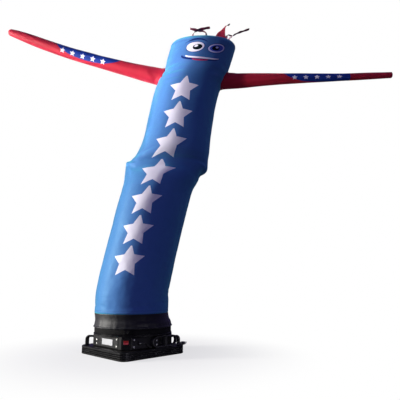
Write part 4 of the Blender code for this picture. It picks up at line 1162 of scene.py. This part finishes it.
red_thread = moulded("red_polyester_thread", "7C1226", 0.6, 0.4, 0.0)
round_tip = [(cos(pi / 2 * i / 8), 0.023 * sin(pi / 2 * i / 8)) for i in range(1, 8)]
blunt_tip = [(1.0, 0.004), (1.0, 0.008), (0.97, 0.0105), (0.90, 0.0120), (0.5, 0.0126)]
SLEEVES = (
    ("sleeve_raised", "arm_raised", RAISED_SLEEVE, -1, round_tip, RAISED_FOLDS, RAISED_PATCH),
    ("sleeve_level", "arm_level", LEVEL_SLEEVE, 1, blunt_tip, LEVEL_FOLDS, LEVEL_PATCH),
)
for name, cad_name, rows, side, tip, fold_rows, patch in SLEEVES:
    # Satin red cloth that shines towards pink
    satin = {"Sheen Weight": 0.5, "Sheen Roughness": 0.45, "Specular IOR Level": 0.16}
    red = name + "_red_ripstop_nylon"
    red = nylon(red, "CC2A40", "BA2036", "FF8092", satin, sleeve_prints(patch))
    made = sleeve(name, rows, side, tip, fold_rows, red)
    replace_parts(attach(made, "dancer"), cad_name)

# The hair is five ribbons of the same red nylon, cut with a hot knife and caught in the crown's
# seam. The air that leaks there blows them about, and they hold no folds.
RIBBONS = {
    "curl_left": (
        # x, y, height over the floor (the first is on the crown), width, twist in degrees
        (0.362, -0.122, 0.000, 0.034, 26),
        (0.366, -0.122, 2.074, 0.034, 24),
        (0.384, -0.126, 2.099, 0.033, 12),
        (0.415, -0.134, 2.106, 0.032, 2),
        (0.450, -0.142, 2.110, 0.030, 0),
        (0.482, -0.146, 2.113, 0.026, 4),
    ),
    "curl_middle": (
        (0.462, -0.088, 0.000, 0.034, -24),
        (0.458, -0.088, 2.110, 0.034, -22),
        (0.437, -0.092, 2.124, 0.033, -12),
        (0.408, -0.096, 2.127, 0.032, -4),
        (0.378, -0.098, 2.132, 0.032, -2),
        (0.346, -0.098, 2.140, 0.030, -6),
    ),
    "peak": (
        (0.549, -0.118, 0.000, 0.076, 84),
        (0.558, -0.118, 2.078, 0.060, 82),
        (0.570, -0.118, 2.104, 0.036, 76),
        (0.581, -0.117, 2.128, 0.018, 60),
        (0.595, -0.114, 2.149, 0.022, 30),
        (0.617, -0.110, 2.160, 0.030, 10),
    ),
    "fold": (
        (0.584, -0.082, 0.000, 0.030, 70),
        (0.592, -0.083, 2.078, 0.028, 60),
        (0.604, -0.086, 2.094, 0.026, 30),
        (0.620, -0.090, 2.090, 0.026, 10),
        (0.634, -0.092, 2.079, 0.026, 0),
    ),
    "long": (
        (0.606, -0.130, 0.000, 0.028, 40),
        (0.622, -0.132, 2.050, 0.032, 30),
        (0.646, -0.134, 2.066, 0.035, 14),
        (0.675, -0.134, 2.082, 0.034, 10),
        (0.708, -0.134, 2.094, 0.032, 8),
        (0.748, -0.134, 2.109, 0.028, 6),
    ),
}
RIBBON_THICKNESS, RIBBON_RINGS = 0.0008, 48
# Where the painted pink highlight at a ribbon's root is full and where it has faded out, along the ribbon
ROOT_HIGHLIGHT = (0.015, 0.060)


def painted_root_highlight(tree, place, ground):
    """A painted pale pink highlight near the roots of the two right ribbons, over their red."""
    along = node(tree, "SeparateXYZ", {"Vector": place}).outputs["Y"]
    highlight = {"Value": along, "From Min": ROOT_HIGHLIGHT[1], "From Max": ROOT_HIGHLIGHT[0]}
    tone = {0: node(tree, "MapRange", highlight), 6: ground[0], 7: colour("F2B8CC")}
    return node(tree, "Mix", tone, data_type="RGBA").outputs[2], ground[1]


# Satin like the sleeves. The darker copies of the red are painted shade, where a ribbon is seen edge on or
# against the light, and the two right ribbons also get a painted pale pink highlight at their roots
satin = {"Sheen Weight": 0.3}
dull = {"Sheen Weight": 0.1}
ribbon_red = nylon("red_ripstop_ribbon", "B81E34", "8E1230", "FF9AA4", satin, bump=0.5)
ribbon_painted_shade = nylon("red_ripstop_ribbon_painted_shade", "7A1030", "58102E", "D08090", dull, bump=0.5)
ribbon_painted_shade_and_highlight = "red_ripstop_ribbon_painted_shade_and_highlight"
ribbon_painted_shade_and_highlight = nylon(ribbon_painted_shade_and_highlight, "8A1838", "6A1038", "FF9AA4", satin, painted_root_highlight, bump=0.5)
for name, rows in RIBBONS.items():
    foot = tube_tree.ray_cast(Vector((*rows[0][:2], 2.3)), Vector((0, 0, -1)))[0]
    keyed = [(i, x, y, z or foot.z - 0.0005, *rest) for i, (x, y, z, *rest) in enumerate(rows)]
    x, y, z, width, twist = between(keyed, np.linspace(0, len(rows) - 1, RIBBON_RINGS))
    middle = np.stack([x, y, z], axis=1)
    along = np.gradient(middle, axis=0)
    along /= np.linalg.norm(along, axis=1, keepdims=True)
    flat = np.array([0, 1, 0]) - along * along[:, 1:2]
    flat /= np.linalg.norm(flat, axis=1, keepdims=True)
    rise = np.cross(along, flat)
    twist = np.radians(twist)[:, None]
    wide = flat * np.cos(twist) + rise * np.sin(twist)
    thin = np.cross(along, wide)
    across = np.linspace(-1, 1, 9)
    ring = np.arange(RIBBON_RINGS)[:, None]
    # Cupped across, and fluttering more towards its free end
    lift = 0.0022 * np.clip(ring / 10, 0, 1) * (across**2 - 0.4)
    lift = lift + 0.0012 * np.sin(ring * 0.5 + across * 1.3) * np.clip(ring / 20, 0, 1)
    grid = middle[:, None, :] + wide[:, None, :] * (across[None, :, None] * width[:, None, None] / 2)
    grid = grid + thin[:, None, :] * lift[:, :, None]
    for k in range(9):
        hit = tube_tree.ray_cast(Vector((*grid[0, k, :2], 2.3)), Vector((0, 0, -1)))[0]
        grid[0, k, 2] = hit.z - 0.0005
    run = np.concatenate([[0], np.cumsum(np.linalg.norm(np.diff(middle, axis=0), axis=1))])
    us = across * width.max() / 2
    kind = {"wrapped": False, "thickness": RIBBON_THICKNESS}
    # The curls get the painted shade copy, and the two right ribbons the painted shade and highlight copy
    finish = {"peak": ribbon_red, "fold": ribbon_painted_shade_and_highlight, "long": ribbon_painted_shade_and_highlight}.get(name, ribbon_painted_shade)
    ribbon = cloth_sheet("ribbon_" + name, grid, us, run, finish, **kind)
    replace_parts(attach(ribbon, "dancer"), "hair_" + name)
